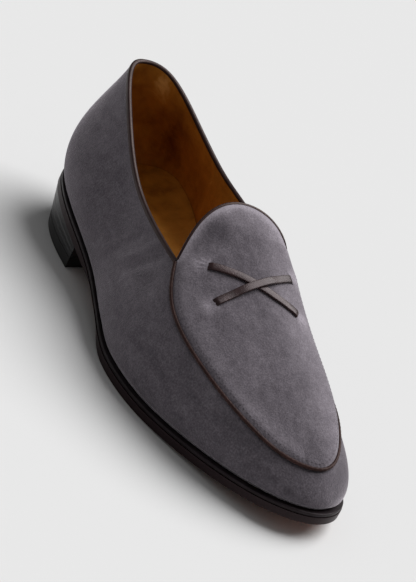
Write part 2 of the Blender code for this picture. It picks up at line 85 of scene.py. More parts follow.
class Slot(Enum):
    """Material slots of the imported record."""

    SUEDE = "grey_suede"
    BINDING = "binding_leather"
    PIPING = "piping_leather"
    STRIP = "strip_leather"
    SOCK = "sock_leather"
    WELT = "welt_leather"
    SOLE = "sole_leather"
    RUBBER = "tread_rubber"
    HEEL = "heel_leather"
    LIFT = "lift_leather"


class Mark(Enum):
    """Numbers that a mesh carries for its material."""

    # Painted light and shade that the strokes, the apron and the sock write for their materials
    TONE = "tone"
    FROM_EDGE = "from_edge_mm"
    FROM_BREAST = "from_breast_mm"


class Operation(Enum):
    """Sums that a material works out."""

    ADD = "ADD"
    SUBTRACT = "SUBTRACT"
    MULTIPLY = "MULTIPLY"
    ABSOLUTE = "ABSOLUTE"


class Rib(NamedTuple):
    """A section of the wall, from its foot on the welt to its edge at the collar or the apron.

    Along is in shares of the last's length, across in shares of half the ball width and up in
    shares of the back's height above the welt. The bellies push the wall outward, in millimetres.
    """

    foot_along: float
    foot_across: float
    edge_along: float
    edge_across: float
    edge_up: float
    low_belly: float
    high_belly: float


class EdgePoint(NamedTuple):
    """A point of a free edge, in the same shares as a rib."""

    along: float
    across: float
    up: float


class CrestPoint(NamedTuple):
    """A height of the apron's crest, in the same shares as a rib."""

    along: float
    up: float


class Station(NamedTuple):
    """Where the rubber's two sides lie at one share of the last's length."""

    along: float
    lateral: float
    medial: float


class Crease(NamedTuple):
    """A soft trough or ridge of the wall, placed by rib and by share of the wall's height."""

    rib: float
    height: float
    length_mm: float
    width_mm: float
    lean_degrees: float
    rise_mm: float


class Stroke(NamedTuple):
    """A soft patch of painted light where its tone is above 0 and painted shade where it is below, placed
    by rib and by share of the wall's height.
    """

    rib: float
    height: float
    length_mm: float
    rise_mm: float
    tone: float


class StripRun(NamedTuple):
    """A strip's two ends on the apron, as reach and share, and how many strips lie under it."""

    name: str
    start: tuple[float, float]
    end: tuple[float, float]
    layer: int


RIBS = (
    Rib(0.010, 0.00, 0.010, 0.00, 1.00, 14.0, 6.0),
    Rib(0.035, -0.41, 0.040, -0.26, 0.98, 13.0, 4.0),
    Rib(0.110, -0.65, 0.140, -0.44, 0.86, 9.0, 5.0),
    Rib(0.330, -0.78, 0.335, -0.59, 0.70, 3.0, 2.0),
    Rib(0.530, -1.00, 0.525, -0.65, 0.82, 5.0, 8.0),
    Rib(0.660, -0.98, 0.625, -0.81, 0.64, 4.0, 6.0),
    Rib(0.790, -0.75, 0.770, -0.69, 0.51, 4.0, 4.0),
    Rib(0.910, -0.43, 0.880, -0.44, 0.39, 3.5, 4.0),
    Rib(0.975, -0.13, 0.940, -0.13, 0.30, 3.0, 5.0),
    Rib(1.000, 0.19, 0.965, 0.19, 0.29, 3.0, 6.0),
    Rib(0.985, 0.48, 0.940, 0.42, 0.34, 4.0, 6.0),
    Rib(0.935, 0.73, 0.880, 0.58, 0.45, 5.0, 8.0),
    Rib(0.825, 0.90, 0.770, 0.70, 0.56, 5.0, 7.0),
    Rib(0.705, 0.99, 0.625, 0.76, 0.68, 4.0, 7.0),
    Rib(0.550, 0.79, 0.515, 0.70, 0.93, 3.0, 5.0),
    Rib(0.355, 0.53, 0.320, 0.59, 0.83, 0.5, 1.0),
    Rib(0.110, 0.65, 0.140, 0.47, 0.86, 9.0, 5.0),
    Rib(0.035, 0.41, 0.040, 0.28, 0.98, 13.0, 4.0),
)
LATERAL_JOIN = 4
TOE = 9
MEDIAL_JOIN = 14


class Side(Enum):
    """Sides of the foot, each by the rib at the back of the heel that it is counted from."""

    OUTER = 0
    INNER = len(RIBS)


TONGUE_EDGE = (
    EdgePoint(0.500, -0.53, 0.96),
    EdgePoint(0.477, -0.38, 1.06),
    EdgePoint(0.461, -0.18, 1.145),
    EdgePoint(0.455, 0.10, 1.18),
    EdgePoint(0.465, 0.32, 1.17),
    EdgePoint(0.480, 0.48, 1.13),
    EdgePoint(0.500, 0.60, 1.06),
)

CREST = (
    CrestPoint(0.455, 1.18),
    CrestPoint(0.510, 1.10),
    CrestPoint(0.585, 0.96),
    CrestPoint(0.670, 0.82),
    CrestPoint(0.770, 0.69),
    CrestPoint(0.875, 0.50),
    CrestPoint(0.940, 0.36),
    CrestPoint(0.965, 0.29),
)

RUBBER_STATIONS = (
    Station(0.465, -0.19, -0.19),
    Station(0.475, -0.43, 0.06),
    Station(0.495, -0.60, 0.33),
    Station(0.530, -0.72, 0.54),
    Station(0.585, -0.75, 0.70),
    Station(0.655, -0.70, 0.76),
    Station(0.725, -0.58, 0.74),
    Station(0.795, -0.42, 0.68),
    Station(0.865, -0.24, 0.59),
    Station(0.910, -0.05, 0.47),
    Station(0.933, 0.07, 0.38),
    Station(0.944, 0.16, 0.31),
    Station(0.947, 0.23, 0.23),
)

# How far the sole stands out beyond the upper's foot, as share of length and millimetres
SOLE_MARGIN = ((0.0, 0.6), (0.2, 1.2), (0.3, 1.1), (0.45, 0.9), (0.58, 2.0), (1.0, 3.0))

WALL_CREASES = (
    Crease(3.75, 0.80, 16, 5.0, 62, -0.6),
    Crease(3.35, 0.72, 14, 4.5, 70, -0.4),
    Crease(3.55, 0.74, 14, 4.0, 66, 0.4),
    Crease(4.30, 0.45, 26, 8.0, 35, -0.5),
    Crease(14.35, 0.80, 16, 5.0, -62, -0.6),
    Crease(13.70, 0.45, 24, 8.0, -35, -0.4),
    Crease(2.30, 0.78, 14, 6.0, 85, -0.3),
)

# Painted shade: the wall made darker beside the toe, on its inner side
TOE_PAINTED_SHADE = (
    Stroke(10.5, 0.55, 16, 14, -0.15),
    Stroke(11.5, 0.55, 22, 14, -0.08),
)

# Painted shade darkening the lining on both sides of the heel, and painted light making it pale by the
# collar and faintly lighter on the inner side
LINING_PAINTED_SHADE_AND_LIGHT = (
    Stroke(16.5, 0.46, 14, 26, -0.38),
    Stroke(1.5, 0.46, 14, 26, -0.34),
    Stroke(17.0, 0.86, 8, 9, 0.44),
    Stroke(15.3, 0.62, 30, 22, 0.05),
)

STRIP_RUNS = (
    StripRun("strip_under", (0.09, 0.22), (0.24, 0.83), 0),
    StripRun("strip_over", (0.215, 0.23), (0.135, 0.86), 1),
)


def unit(vectors: Array) -> Array:
    """Scale each row to length one."""
    return vectors / np.maximum(np.linalg.norm(vectors, axis=-1, keepdims=True), TINY)


def smooth_step(values: Array) -> Array:
    """Ease from 0 to 1 between the values 0 and 1."""
    share = np.clip(values, 0, 1)
    return share * share * (3 - 2 * share)


def bell(values: Array) -> Array:
    """Give a soft hump of height one and of about unit reach."""
    return np.exp(-(values**2))


def spread(shares: Array, even: float = 0.35) -> Array:
    """Crowd even shares towards both ends."""
    return even * shares + (1 - even) * (1 - np.cos(np.pi * shares)) / 2


def raised(plan: Array, height: Array | float) -> Array:
    """Set plan points at heights."""
    return np.column_stack((plan, np.broadcast_to(height, len(plan))))


def level(height: float) -> Profile:
    """Give the same height at every position."""
    return lambda along: np.full_like(along, height)


def chord_knots(points: Array) -> Array:
    """Measure along a chain of points."""
    steps = np.linalg.norm(np.diff(points, axis=0), axis=1)
    return np.concatenate(([0.0], np.cumsum(steps)))


class Spline:
    """A curve of continuous curvature through rows of numbers."""

    def __init__(self, knots: Array, rows: Array, closed: bool = False) -> None:
        """Solve for the curve's bends.

        Args:
            knots: Rising positions, one for each row.
            rows: What the curve passes through.
            closed: Whether it runs smoothly from its last row into its first.
        """
        self.knots = knots
        self.rows = rows
        self.closed = closed
        self.spans = np.diff(knots)
        self.bends = self._solve()

    def _solve(self) -> Array:
        """Find how sharply the curve bends.

        Returns:
            The second derivative at each knot.
        """
        count = len(self.rows)
        matrix = np.zeros((count, count))
        right = np.zeros_like(self.rows)
        slopes = np.diff(self.rows, axis=0) / self.spans[:, None]
        for i in range(1, count - 1):
            before, after = self.spans[i - 1], self.spans[i]
            matrix[i, i - 1: i + 2] = before, 2 * (before + after), after
            right[i] = 6 * (slopes[i] - slopes[i - 1])
        matrix[0, 0] = 1
        matrix[-1, -1] = 1
        if self.closed:
            first, final = self.spans[0], self.spans[-1]
            matrix[0, -1] = -1
            matrix[-1, [0, 1, -2, -1]] = 2 * first, first, final, 2 * final
            right[-1] = 6 * (slopes[0] - slopes[-1])
        return np.linalg.solve(matrix, right)

    def __call__(self, positions: Array) -> Array:
        """Read the curve.

        Args:
            positions: Where to read it, in the measure of its knots.

        Returns:
            A row for each position.
        """
        positions = np.atleast_1d(positions)
        if self.closed:
            positions = self.knots[0] + (positions - self.knots[0]) % (self.knots[-1] - self.knots[0])
        i = np.clip(np.searchsorted(self.knots, positions) - 1, 0, len(self.spans) - 1)
        after = (positions - self.knots[i])[:, None]
        before = (self.knots[i + 1] - positions)[:, None]
        span = self.spans[i][:, None]
        cubic = (self.bends[i] * before**3 + self.bends[i + 1] * after**3) / (6 * span)
        start = self.rows[i] / span - self.bends[i] * span / 6
        end = self.rows[i + 1] / span - self.bends[i + 1] * span / 6
        return cubic + start * before + end * after

    def outward(self, positions: Array, step: float = 0.5 * MM) -> Array:
        """Directions out of a closed curve in plan, from small steps along it."""
        ahead = self(positions + step) - self(positions - step)
        return unit(np.column_stack((ahead[:, 1], -ahead[:, 0])))


class Track:
    """A chain of points that can be asked how far away it is, and where along it."""

    def __init__(self, points: Array) -> None:
        """Put the points into a search tree.

        Args:
            points: The chain's points, in order.
        """
        self.points = points
        self.runs = chord_knots(points)
        self.tree = KDTree(len(points))
        for i, point in enumerate(points):
            self.tree.insert(point, i)
        self.tree.balance()

    def nearest(self, points: Array) -> tuple[Array, Array]:
        """Measure how far points are from the track, and the run along it where each is nearest."""
        found = [self.tree.find(point) for point in points]
        return np.array([hit[2] for hit in found]), self.runs[[hit[1] for hit in found]]

    def away(self, points: Array) -> Array:
        """Measure how far points are from the track."""
        return self.nearest(points)[0]


@dataclass
class Last:
    """The form that the shoe is built on: a ring of ribs, an apron with its tongue, and a sole."""

    length: float = 283 * MM
    ball_width: float = 97 * MM
    back_height: float = 65.5 * MM
    heel_lift: float = 20.3 * MM
    toe_spring: float = 9.2 * MM
    wall: float = 2 * MM
    gap: float = 0.3 * MM
    outsole: float = 4 * MM
    welt: float = 2 * MM
    insole: float = 2.5 * MM
    waist_bevel: float = 4 * MM
    apron_raise: float = 1.2 * MM
    apron_roll: float = 1.6 * MM
    tread_start: float = 0.55
    tread_end: float = 0.68
    heel_curve: float = 1.35
    toe_curve: float = 1.7
    waist_middle: float = 0.40
    waist_reach: float = 0.08
    low_belly_rise: float = 0.40
    high_belly_drop: float = 0.35
    lateral_curve: float = 0.65
    medial_curve: float = 0.38
    join_ease: float = 0.25
    join_slope: float = 2.5
    tongue_rolls: float = 5.0
    tongue_slope: float = 4.0

    def __post_init__(self) -> None:
        """Run curves through the tables."""
        ribs = RIBS + RIBS[:1]
        feet = np.array([self.placed(rib.foot_along, rib.foot_across, 0)[:2] for rib in ribs])
        edges = np.array([self.placed(rib.edge_along, rib.edge_across, rib.edge_up) for rib in RIBS])
        bellies = np.array([(rib.low_belly, rib.high_belly) for rib in ribs]) * MM
        self.knots = chord_knots(feet)
        self.foot_line = Spline(self.knots, feet, closed=True)
        self.belly_line = Spline(self.knots, bellies, closed=True)

        seam = np.arange(LATERAL_JOIN, MEDIAL_JOIN + 1)
        self.seam_line = Spline(self.knots[seam], edges[seam])
        collar = np.arange(MEDIAL_JOIN, len(RIBS) + LATERAL_JOIN + 1)
        again = collar % len(RIBS)
        collar_knots = self.knots[again] + self.perimeter * (collar >= len(RIBS))
        self.collar_line = Spline(collar_knots, edges[again])

        tip = [self.placed(*point) for point in TONGUE_EDGE]
        tongue = np.array([edges[LATERAL_JOIN], *tip, edges[MEDIAL_JOIN]])
        self.tongue_knots = chord_knots(tongue)
        self.tongue_line = Spline(self.tongue_knots, tongue)
        crest = np.array([self.placed(point.along, 0, point.up) for point in CREST])
        self.crest_line = Spline(crest[:, 0], crest[:, 2:])

    def placed(self, along: float, across: float, up: float) -> Array:
        """Turn a rib's shares into a point.

        Args:
            along: Share of the last's length.
            across: Share of half the ball width.
            up: Share of the back's height, above the welt.

        Returns:
            The point's coordinates.
        """
        point_along = along * self.length
        height = float(self.upper_foot(np.array(point_along))) + up * self.back_height
        return np.array((point_along, across * self.ball_width / 2, height))

    @property
    def perimeter(self) -> float:
        """Length of the foot line."""
        return self.knots[-1]

    @property
    def joins(self) -> Array:
        """Distances round the foot at the apron's outer and inner joins with the collar."""
        return self.knot(np.array((LATERAL_JOIN, MEDIAL_JOIN)))

    @property
    def tongue_tip(self) -> float:
        """Run along the tongue's edge at its tip."""
        return self.tongue_knots[len(TONGUE_EDGE) // 2 + 1]

    def knot(self, rib: Array) -> Array:
        """Distance round the foot at whole or part ribs."""
        return np.interp(rib, np.arange(len(self.knots)), self.knots)

    def side_knot(self, side: Side, share: Array) -> Array:
        """Distance round the foot at shares of one side, from the heel to the toe."""
        return self.knot(side.value + (TOE - side.value) * share)

    def sole_lift(self, along: Array) -> Array:
        """Height of the sole's underside: the heel pitch, the flat tread and the toe spring.

        Args:
            along: Positions along the last.

        Returns:
            The height at each.
        """
        share = along / self.length
        rise = np.clip((self.tread_start - share) / self.tread_start, 0, 1)
        spring = np.maximum(share - self.tread_end, 0) / (1 - self.tread_end)
        pitch = np.sin(rise * np.pi / 2) ** self.heel_curve
        return self.heel_lift * pitch + self.toe_spring * spring**self.toe_curve

    def upper_foot(self, along: Array) -> Array:
        """Height of the wall's foot, above the outsole and the welt."""
        return self.sole_lift(along) + self.outsole + self.welt + 2 * self.gap

    def foot(self, distance: Array, margin: Array | float = 0.0) -> Array:
        """Plan points of the foot line, moved outward by a margin."""
        return self.foot_line(distance) + self.foot_line.outward(distance) * np.reshape(margin, (-1, 1))

    def edge(self, distance: Array) -> Array:
        """Find the upper ends of ribs, on the apron seam or the collar.

        Args:
            distance: Distances round the foot line.

        Returns:
            A point for each.
        """
        lateral, medial = self.joins
        distance = distance % self.perimeter
        on_seam = (distance >= lateral) & (distance <= medial)
        seam = self.seam_line(np.clip(distance, lateral, medial))
        round_heel = np.where(distance < medial, distance + self.perimeter, distance)
        collar = self.collar_line(np.maximum(round_heel, medial))
        return np.where(on_seam[:, None], seam, collar)

    def wall_at(self, distance: Array, height: Array) -> Array:
        """Find points of the wall.

        Args:
            distance: Distances round the foot line.
            height: Shares of the rib's height at each.

        Returns:
            A point for each pair.
        """
        plan = self.foot(distance)
        foot = raised(plan, self.upper_foot(plan[:, 0]))
        edge = self.edge(distance)
        outward = raised(self.foot_line.outward(distance), 0.0)
        belly = self.belly_line(distance)
        rise = np.zeros_like(foot)
        rise[:, 2] = edge[:, 2] - foot[:, 2]
        low = foot + outward * belly[:, :1] + rise * self.low_belly_rise
        high = edge + outward * belly[:, 1:] - rise * self.high_belly_drop
        height = height[:, None]
        rest = 1 - height
        lower = rest**3 * foot + 3 * rest**2 * height * low
        return lower + 3 * rest * height**2 * high + height**3 * edge

    def wall_spot(self, rib: float, height: float, step: float = 0.01) -> tuple[Array, Array, Array]:
        """Find a place on the wall for a crease or a stroke.

        Args:
            rib: Whole or part rib.
            height: Share of the rib's height.
            step: Share of the height over which the way up is taken.

        Returns:
            The spot, and the directions along the wall and up it.
        """
        distance = self.knot(np.array([rib]))
        share = np.array([height])
        spot = self.wall_at(distance, share)[0]
        along = unit(self.wall_at(distance + MM, share)[0] - spot)
        up = unit(self.wall_at(distance, share + step)[0] - spot)
        return spot, along, up

    def apron_sides(self, reach: Array) -> tuple[Array, Array]:
        """Find the apron's two edges.

        Args:
            reach: 0 at the joins, 1 at the toe and -1 at the tongue's tip.

        Returns:
            Points of the outer edge and of the inner edge.
        """
        ahead = np.clip(reach, 0, 1)
        back = np.clip(-reach, 0, 1)
        lateral = self.seam_line(self.knot(LATERAL_JOIN + ahead * (TOE - LATERAL_JOIN)))
        medial = self.seam_line(self.knot(MEDIAL_JOIN - ahead * (MEDIAL_JOIN - TOE)))
        tip = self.tongue_tip
        end = self.tongue_knots[-1]
        on_tongue = (reach < 0)[:, None]
        lateral = np.where(on_tongue, self.tongue_line(back * tip), lateral)
        medial = np.where(on_tongue, self.tongue_line(end - back * (end - tip)), medial)
        return lateral, medial

    def apron_at(self, reach: Array, share: Array) -> Array:
        """Find points of the apron.

        Args:
            reach: 0 at the joins, 1 at the toe and -1 at the tongue's tip.
            share: Shares of the width from the outer edge.

        Returns:
            A point for each pair.
        """
        lateral, medial = self.apron_sides(reach)
        points = lateral + (medial - lateral) * share[:, None]
        middle = (lateral + medial) / 2
        crown = self.crest_line(middle[:, 0])[:, 0] - middle[:, 2]
        from_tip = middle[:, 0] - CREST[0].along * self.length
        from_toe = CREST[-1].along * self.length - middle[:, 0]
        from_edge = np.linalg.norm(medial - lateral, axis=1) * np.minimum(share, 1 - share)
        inside = np.maximum(np.minimum(from_edge, np.minimum(from_tip, from_toe)), 0)
        inside = inside + self.tongue_rolls * self.apron_roll * np.clip(-self.tongue_slope * reach, 0, 1)
        points[:, 2] += crown * self.fullness(share, reach)
        points[:, 2] += self.apron_raise * (1 - np.exp(-inside / self.apron_roll))
        return points

    def fullness(self, share: Array, reach: Array) -> Array:
        """Rise of the apron across its width: steep at its inner edge, an even arch on the tongue.

        Args:
            share: Shares of the width from the outer edge.
            reach: 0 at the joins, 1 at the toe and -1 at the tongue's tip.

        Returns:
            The share of the crown's height at each pair.
        """
        ease = np.clip(self.join_ease - self.join_slope * reach, 0, 1)
        lateral = self.lateral_curve + (1 - self.lateral_curve) * ease
        medial = self.medial_curve + (1 - self.medial_curve) * ease
        peak = lateral / (lateral + medial)
        return (share / peak) ** lateral * ((1 - share) / (1 - peak)) ** medial

    def sole_margin(self, along: Array) -> Array:
        """How far the sole stands out beyond the upper's foot."""
        shares, margins = np.array(SOLE_MARGIN).T
        return np.interp(along / self.length, shares, margins) * MM

    def under_margin(self, along: Array) -> Array:
        """How far the sole's lower edge stands out, which is bevelled under the arch."""
        bevel = self.waist_bevel * bell((along / self.length - self.waist_middle) / self.waist_reach)
        return self.sole_margin(along) - bevel

    def sole_edge(self, distance: Array) -> Array:
        """Plan of the sole's upper edge."""
        return self.foot(distance, self.sole_margin(self.foot(distance)[:, 0]))

    def sole_plan(self, along: Array, across: Array, margin: Profile) -> Array:
        """Lay out a sheet over the sole, in plan.

        Args:
            along: Shares from the heel to the toe.
            across: Shares from the outer side inwards.
            margin: Turns a position along the last into a margin beyond the foot line.

        Returns:
            Rows of plan coordinates.
        """
        sides = []
        for side in Side:
            distance = self.side_knot(side, along)
            sides.append(self.foot(distance, margin(self.foot(distance)[:, 0])))
        return sides[0] + (sides[1] - sides[0]) * across[:, None]


def normals_of(place: Placement, first: Array, second: Array, step: float = 1e-3) -> Array:
    """Work out how a placed surface faces.

    Args:
        place: Turns shares along two directions into points.
        first: Shares along the first direction.
        second: Shares along the second direction.
        step: Share over which the slopes are taken.

    Returns:
        A unit normal for each pair of shares.
    """
    along = place(first + step, second) - place(first - step, second)
    across = place(first, second + step) - place(first, second - step)
    return unit(np.cross(along, across))


def flat_track(plan: Array) -> Track:
    """Make a track in plan."""
    return Track(raised(plan, 0.0))


def points_of(mesh: Mesh) -> Array:
    """List a mesh's vertices as rows."""
    return np.array([vertex.co for vertex in mesh.verts])


def write_mark(mesh: Mesh, mark: Mark, values: Array) -> None:
    """Let a mesh carry a number for its material.

    Args:
        mesh: Mesh that takes the numbers.
        mark: What they say.
        values: One number for each vertex.
    """
    layer = mesh.verts.layers.float.new(mark.value)
    for vertex, value in zip(mesh.verts, values):
        vertex[layer] = value


def drape(mesh: Mesh, columns: int, rows: int, place: Placement) -> None:
    """Lay a flat grid over a form.

    Args:
        mesh: Mesh that takes the grid, with a UV layer for its shares.
        columns: Cells along the form.
        rows: Cells across it.
        place: Turns shares into points.
    """
    if not mesh.loops.layers.uv:
        mesh.loops.layers.uv.new("shares")
    made = bmesh.ops.create_grid(mesh, x_segments=columns, y_segments=rows, size=0.5, calc_uvs=True)
    shares = np.array([vertex.co for vertex in made["verts"]]) + 0.5
    points = place(np.clip(shares[:, 0], 0, 1), np.clip(shares[:, 1], 0, 1))
    for vertex, point in zip(made["verts"], points):
        vertex.co = point


def weld(mesh: Mesh) -> None:
    """Merge the doubles at poles and closed seams."""
    bmesh.ops.remove_doubles(mesh, verts=mesh.verts, dist=WELD)


def face_outwards(mesh: Mesh) -> None:
    """Turn a closed mesh's faces outwards."""
    bmesh.ops.recalc_face_normals(mesh, faces=mesh.faces)


def open_edges(mesh: Mesh) -> list[bmesh.types.BMEdge]:
    """List the edges of a mesh that have one face."""
    return [edge for edge in mesh.edges if edge.is_boundary]


def sheet(columns: int, rows: int, place: Placement) -> Mesh:
    """Lay one grid over a form and close its seams.

    Args:
        columns: Cells along the form.
        rows: Cells across it.
        place: Turns shares into points.

    Returns:
        The sheet.
    """
    mesh = bmesh.new()
    drape(mesh, columns, rows, place)
    weld(mesh)
    return mesh


def slab(columns: int, rows: int, top: Placement, under: Placement) -> Mesh:
    """Lay two grids over each other and join their rims.

    Args:
        columns: Cells along both.
        rows: Cells across both.
        top: Turns shares into points of the upper face.
        under: Turns shares into points of the lower face.

    Returns:
        The closed slab.
    """
    mesh = bmesh.new()
    for place in (top, under):
        drape(mesh, columns, rows, place)
    weld(mesh)
    bmesh.ops.bridge_loops(mesh, edges=open_edges(mesh))
    face_outwards(mesh)
    return mesh


def cap(mesh: Mesh) -> None:
    """Close every open loop and turn the faces outwards.

    Args:
        mesh: Mesh of an open bar.
    """
    weld(mesh)
    bmesh.ops.holes_fill(mesh, edges=open_edges(mesh), sides=0)
    face_outwards(mesh)
    if mesh.calc_volume(signed=True) < 0:
        bmesh.ops.reverse_faces(mesh, faces=mesh.faces)


def soften(mesh: Mesh, degrees: float, offset: float) -> None:
    """Round sharp edges.

    Args:
        mesh: Mesh to soften.
        degrees: Edges sharper than this are rounded.
        offset: How far the rounding reaches from the edge.
    """
    sharp = [edge for edge in mesh.edges if edge.calc_face_angle(0) > math.radians(degrees)]
    bmesh.ops.bevel(
        mesh, geom=sharp, offset=offset, offset_type="OFFSET", segments=BEVEL_SEGMENTS, profile=0.5,
        affect="EDGES", material=-1, clamp_overlap=True,
    )
    bmesh.ops.dissolve_degenerate(mesh, dist=WELD, edges=mesh.edges)


def standing(centre: Sequence[float], axes: Sequence[Array]) -> Matrix:
    """Turn a shape's three axes to new directions and move it to a centre."""
    turn = Matrix(np.column_stack(axes).tolist())
    return Matrix.Translation(centre) @ turn.to_4x4()


def add_bead(mesh: Mesh, place: Matrix, size: Sequence[float], facets: Cells) -> None:
    """Add an ellipsoid of three half lengths, with facets round it and from pole to pole."""
    cells = dict(zip(("u_segments", "v_segments"), facets))
    bmesh.ops.create_uvsphere(mesh, radius=1, matrix=place @ Matrix.Diagonal((*size, 1)), **cells)


@dataclass(frozen=True)
class Bar:
    """A cross-section carried along a path, with its own out and side directions at each point."""

    points: Array
    outs: Array
    sides: Array

    def mesh(self, section: Array, swell: Array | float = 1.0) -> Mesh:
        """Carry a closed section along the path and cap its ends.

        Args:
            section: Rows of (out, side) offsets round the section.
            swell: Scale of the section at each path point.

        Returns:
            The closed bar.
        """
        loop = np.vstack((section, section[:1]))
        scale = np.broadcast_to(swell, len(self.points))
        steps = len(self.points) - 1

        def place(along: Array, around: Array) -> Array:
            """Find points of the bar.

            Args:
                along: Shares along the path.
                around: Shares round the section.

            Returns:
                A point for each pair.
            """
            i = np.rint(along * steps).astype(int)
            j = np.rint(around * (len(loop) - 1)).astype(int)
            offset = loop[j] * scale[i][:, None]
            return self.points[i] + self.outs[i] * offset[:, :1] + self.sides[i] * offset[:, 1:]

        mesh = bmesh.new()
        drape(mesh, steps, len(loop) - 1, place)
        cap(mesh)
        return mesh


def round_section(radius: float, count: int) -> Array:
    """List points round a circle."""
    angles = np.linspace(0, 2 * np.pi, count, endpoint=False)
    return radius * np.column_stack((np.cos(angles), np.sin(angles)))


def oblong_section(low: float, high: float, half_width: float, radius: float) -> Array:
    """List points round a rectangle with round corners.

    Args:
        low: Its lowest out offset.
        high: Its highest out offset.
        half_width: Half of its width to the side.
        radius: Radius of its corners.

    Returns:
        Rows of (out, side) offsets.
    """
    middle = (low + high) / 2
    corners = (
        (high, half_width, 0),
        (high, -half_width, -90),
        (low, -half_width, -180),
        (low, half_width, -270),
    )
    points = []
    for out, side, start in corners:
        centre = np.array((out - radius * np.sign(out - middle), side - radius * np.sign(side)))
        for turn in np.radians(np.linspace(start + 90, start, CORNER_POINTS)):
            points.append(centre + radius * np.array((np.cos(turn), np.sin(turn))))
    return np.array(points)


class Shading:
    """A hand for wiring a Principled material."""

    def __init__(self, name: str, roughness: float) -> None:
        """Start a material.

        Args:
            name: Name of the material.
            roughness: Its roughness where nothing else sets it.
        """
        self.material = bpy.data.materials.new(name)
        self.material.use_nodes = True
        self.tree = self.material.node_tree
        self.shader = self.tree.nodes["Principled BSDF"]
        self.set(Roughness=roughness)
        self.place = self.add("ShaderNodeTexCoord").outputs["Object"]

    @staticmethod
    def give(socket: Socket, value: object) -> None:
        """Link a socket to another node's, or set its constant.

        Args:
            socket: The socket.
            value: The other node's socket, or the constant.
        """
        if isinstance(value, bpy.types.NodeSocket):
            socket.id_data.links.new(value, socket)
        else:
            socket.default_value = value

    @staticmethod
    def fill(node: bpy.types.Node, values: dict[str, object]) -> None:
        """Link or set a node's sockets, with underscores for spaces in their names."""
        for name, value in values.items():
            Shading.give(node.inputs[name.replace("_", " ")], value)

    def set(self, **values: object) -> None:
        """Link or set sockets of the shader."""
        self.fill(self.shader, values)

    def add(self, kind: str, **values: object) -> bpy.types.Node:
        """Add a node.

        Args:
            kind: Blender's name for it.
            values: What its sockets get.

        Returns:
            The new node.
        """
        node = self.tree.nodes.new(kind)
        self.fill(node, values)
        return node

    def noise(
        self, grain_mm: float, detail: float = 2.0, stretch: Sequence[float] = (1, 1, 1), twist: float = 0.0
    ) -> Socket:
        """Make a noise whose grain has a size in millimetres.

        Args:
            grain_mm: Size of a blotch.
            detail: Number of finer layers.
            stretch: Length of a blotch along each axis, in grains.
            twist: Distortion of the blotches.

        Returns:
            The noise.
        """
        scale = [1 / (grain_mm * MM * part) for part in stretch]
        place = self.add("ShaderNodeMapping", Vector=self.place, Scale=scale).outputs["Vector"]
        node = self.add("ShaderNodeTexNoise", Vector=place, Scale=1.0, Detail=detail, Roughness=0.6)
        self.fill(node, {"Distortion": twist})
        return node.outputs["Fac"]

    def cells(self, grain_mm: float) -> Socket:
        """Make a pattern of cells of a size in millimetres."""
        node = self.add("ShaderNodeTexVoronoi", Vector=self.place, Scale=1 / (grain_mm * MM))
        return node.outputs["Distance"]

    def mark(self, mark: Mark) -> Socket:
        """Read a number that the mesh carries.

        Args:
            mark: Which number.

        Returns:
            The number.
        """
        node = self.add("ShaderNodeAttribute")
        node.attribute_name = mark.value
        return node.outputs["Fac"]

    def math(self, operation: Operation, first: Socket, second: Socket | float = 0.0) -> Socket:
        """Work on a socket and a number or a second socket.

        Args:
            operation: What to do.
            first: The socket.
            second: The number or the second socket.

        Returns:
            The result.
        """
        node = self.add("ShaderNodeMath")
        node.operation = operation.value
        for socket, value in zip(node.inputs, (first, second)):
            self.give(socket, value)
        return node.outputs[0]

    def weighted(self, parts: Sequence[tuple[Socket, float]]) -> Socket:
        """Add up sockets by weight.

        Args:
            parts: Each socket with its weight.

        Returns:
            The sum.
        """
        total, *others = [self.math(Operation.MULTIPLY, part, weight) for part, weight in parts]
        for other in others:
            total = self.math(Operation.ADD, total, other)
        return total

    def ramp(self, factor: Socket, stops: Sequence[tuple[float, Colour]]) -> Socket:
        """Turn a factor into colours between stops.

        Args:
            factor: The factor.
            stops: Rising positions, each with its colour.

        Returns:
            The colour.
        """
        node = self.add("ShaderNodeValToRGB", Fac=factor)
        elements = node.color_ramp.elements
        while len(elements) < len(stops):
            elements.new(1.0)
        for element, (position, colour) in zip(elements, stops):
            element.position = position
            element.color = (*colour, 1)
        return node.outputs["Color"]

    def mapped(self, factor: Socket, **limits: float) -> Socket:
        """Stretch a factor between limits, which are 0 and 1 where they aren't given."""
        return self.add("ShaderNodeMapRange", Value=factor, **limits).outputs["Result"]

    def blend(self, factor: Socket, first: Socket, second: Socket) -> Socket:
        """Mix two colours by a factor."""
        return self.add("ShaderNodeMixRGB", Fac=factor, Color1=first, Color2=second).outputs["Color"]

    def rough(self, source: Socket, low: float, high: float) -> None:
        """Let a factor set the roughness between two values."""
        self.set(Roughness=self.mapped(source, To_Min=low, To_Max=high))

    def bump(self, layers: Sequence[tuple[Socket, float]]) -> None:
        """Stack bumps on the surface.

        Args:
            layers: Each height with its depth in millimetres.
        """
        under = {}
        for height, depth_mm in layers:
            node = self.add("ShaderNodeBump", Strength=1.0, Distance=depth_mm * MM, Height=height, **under)
            under = {"Normal": node.outputs["Normal"]}
        self.set(**under)


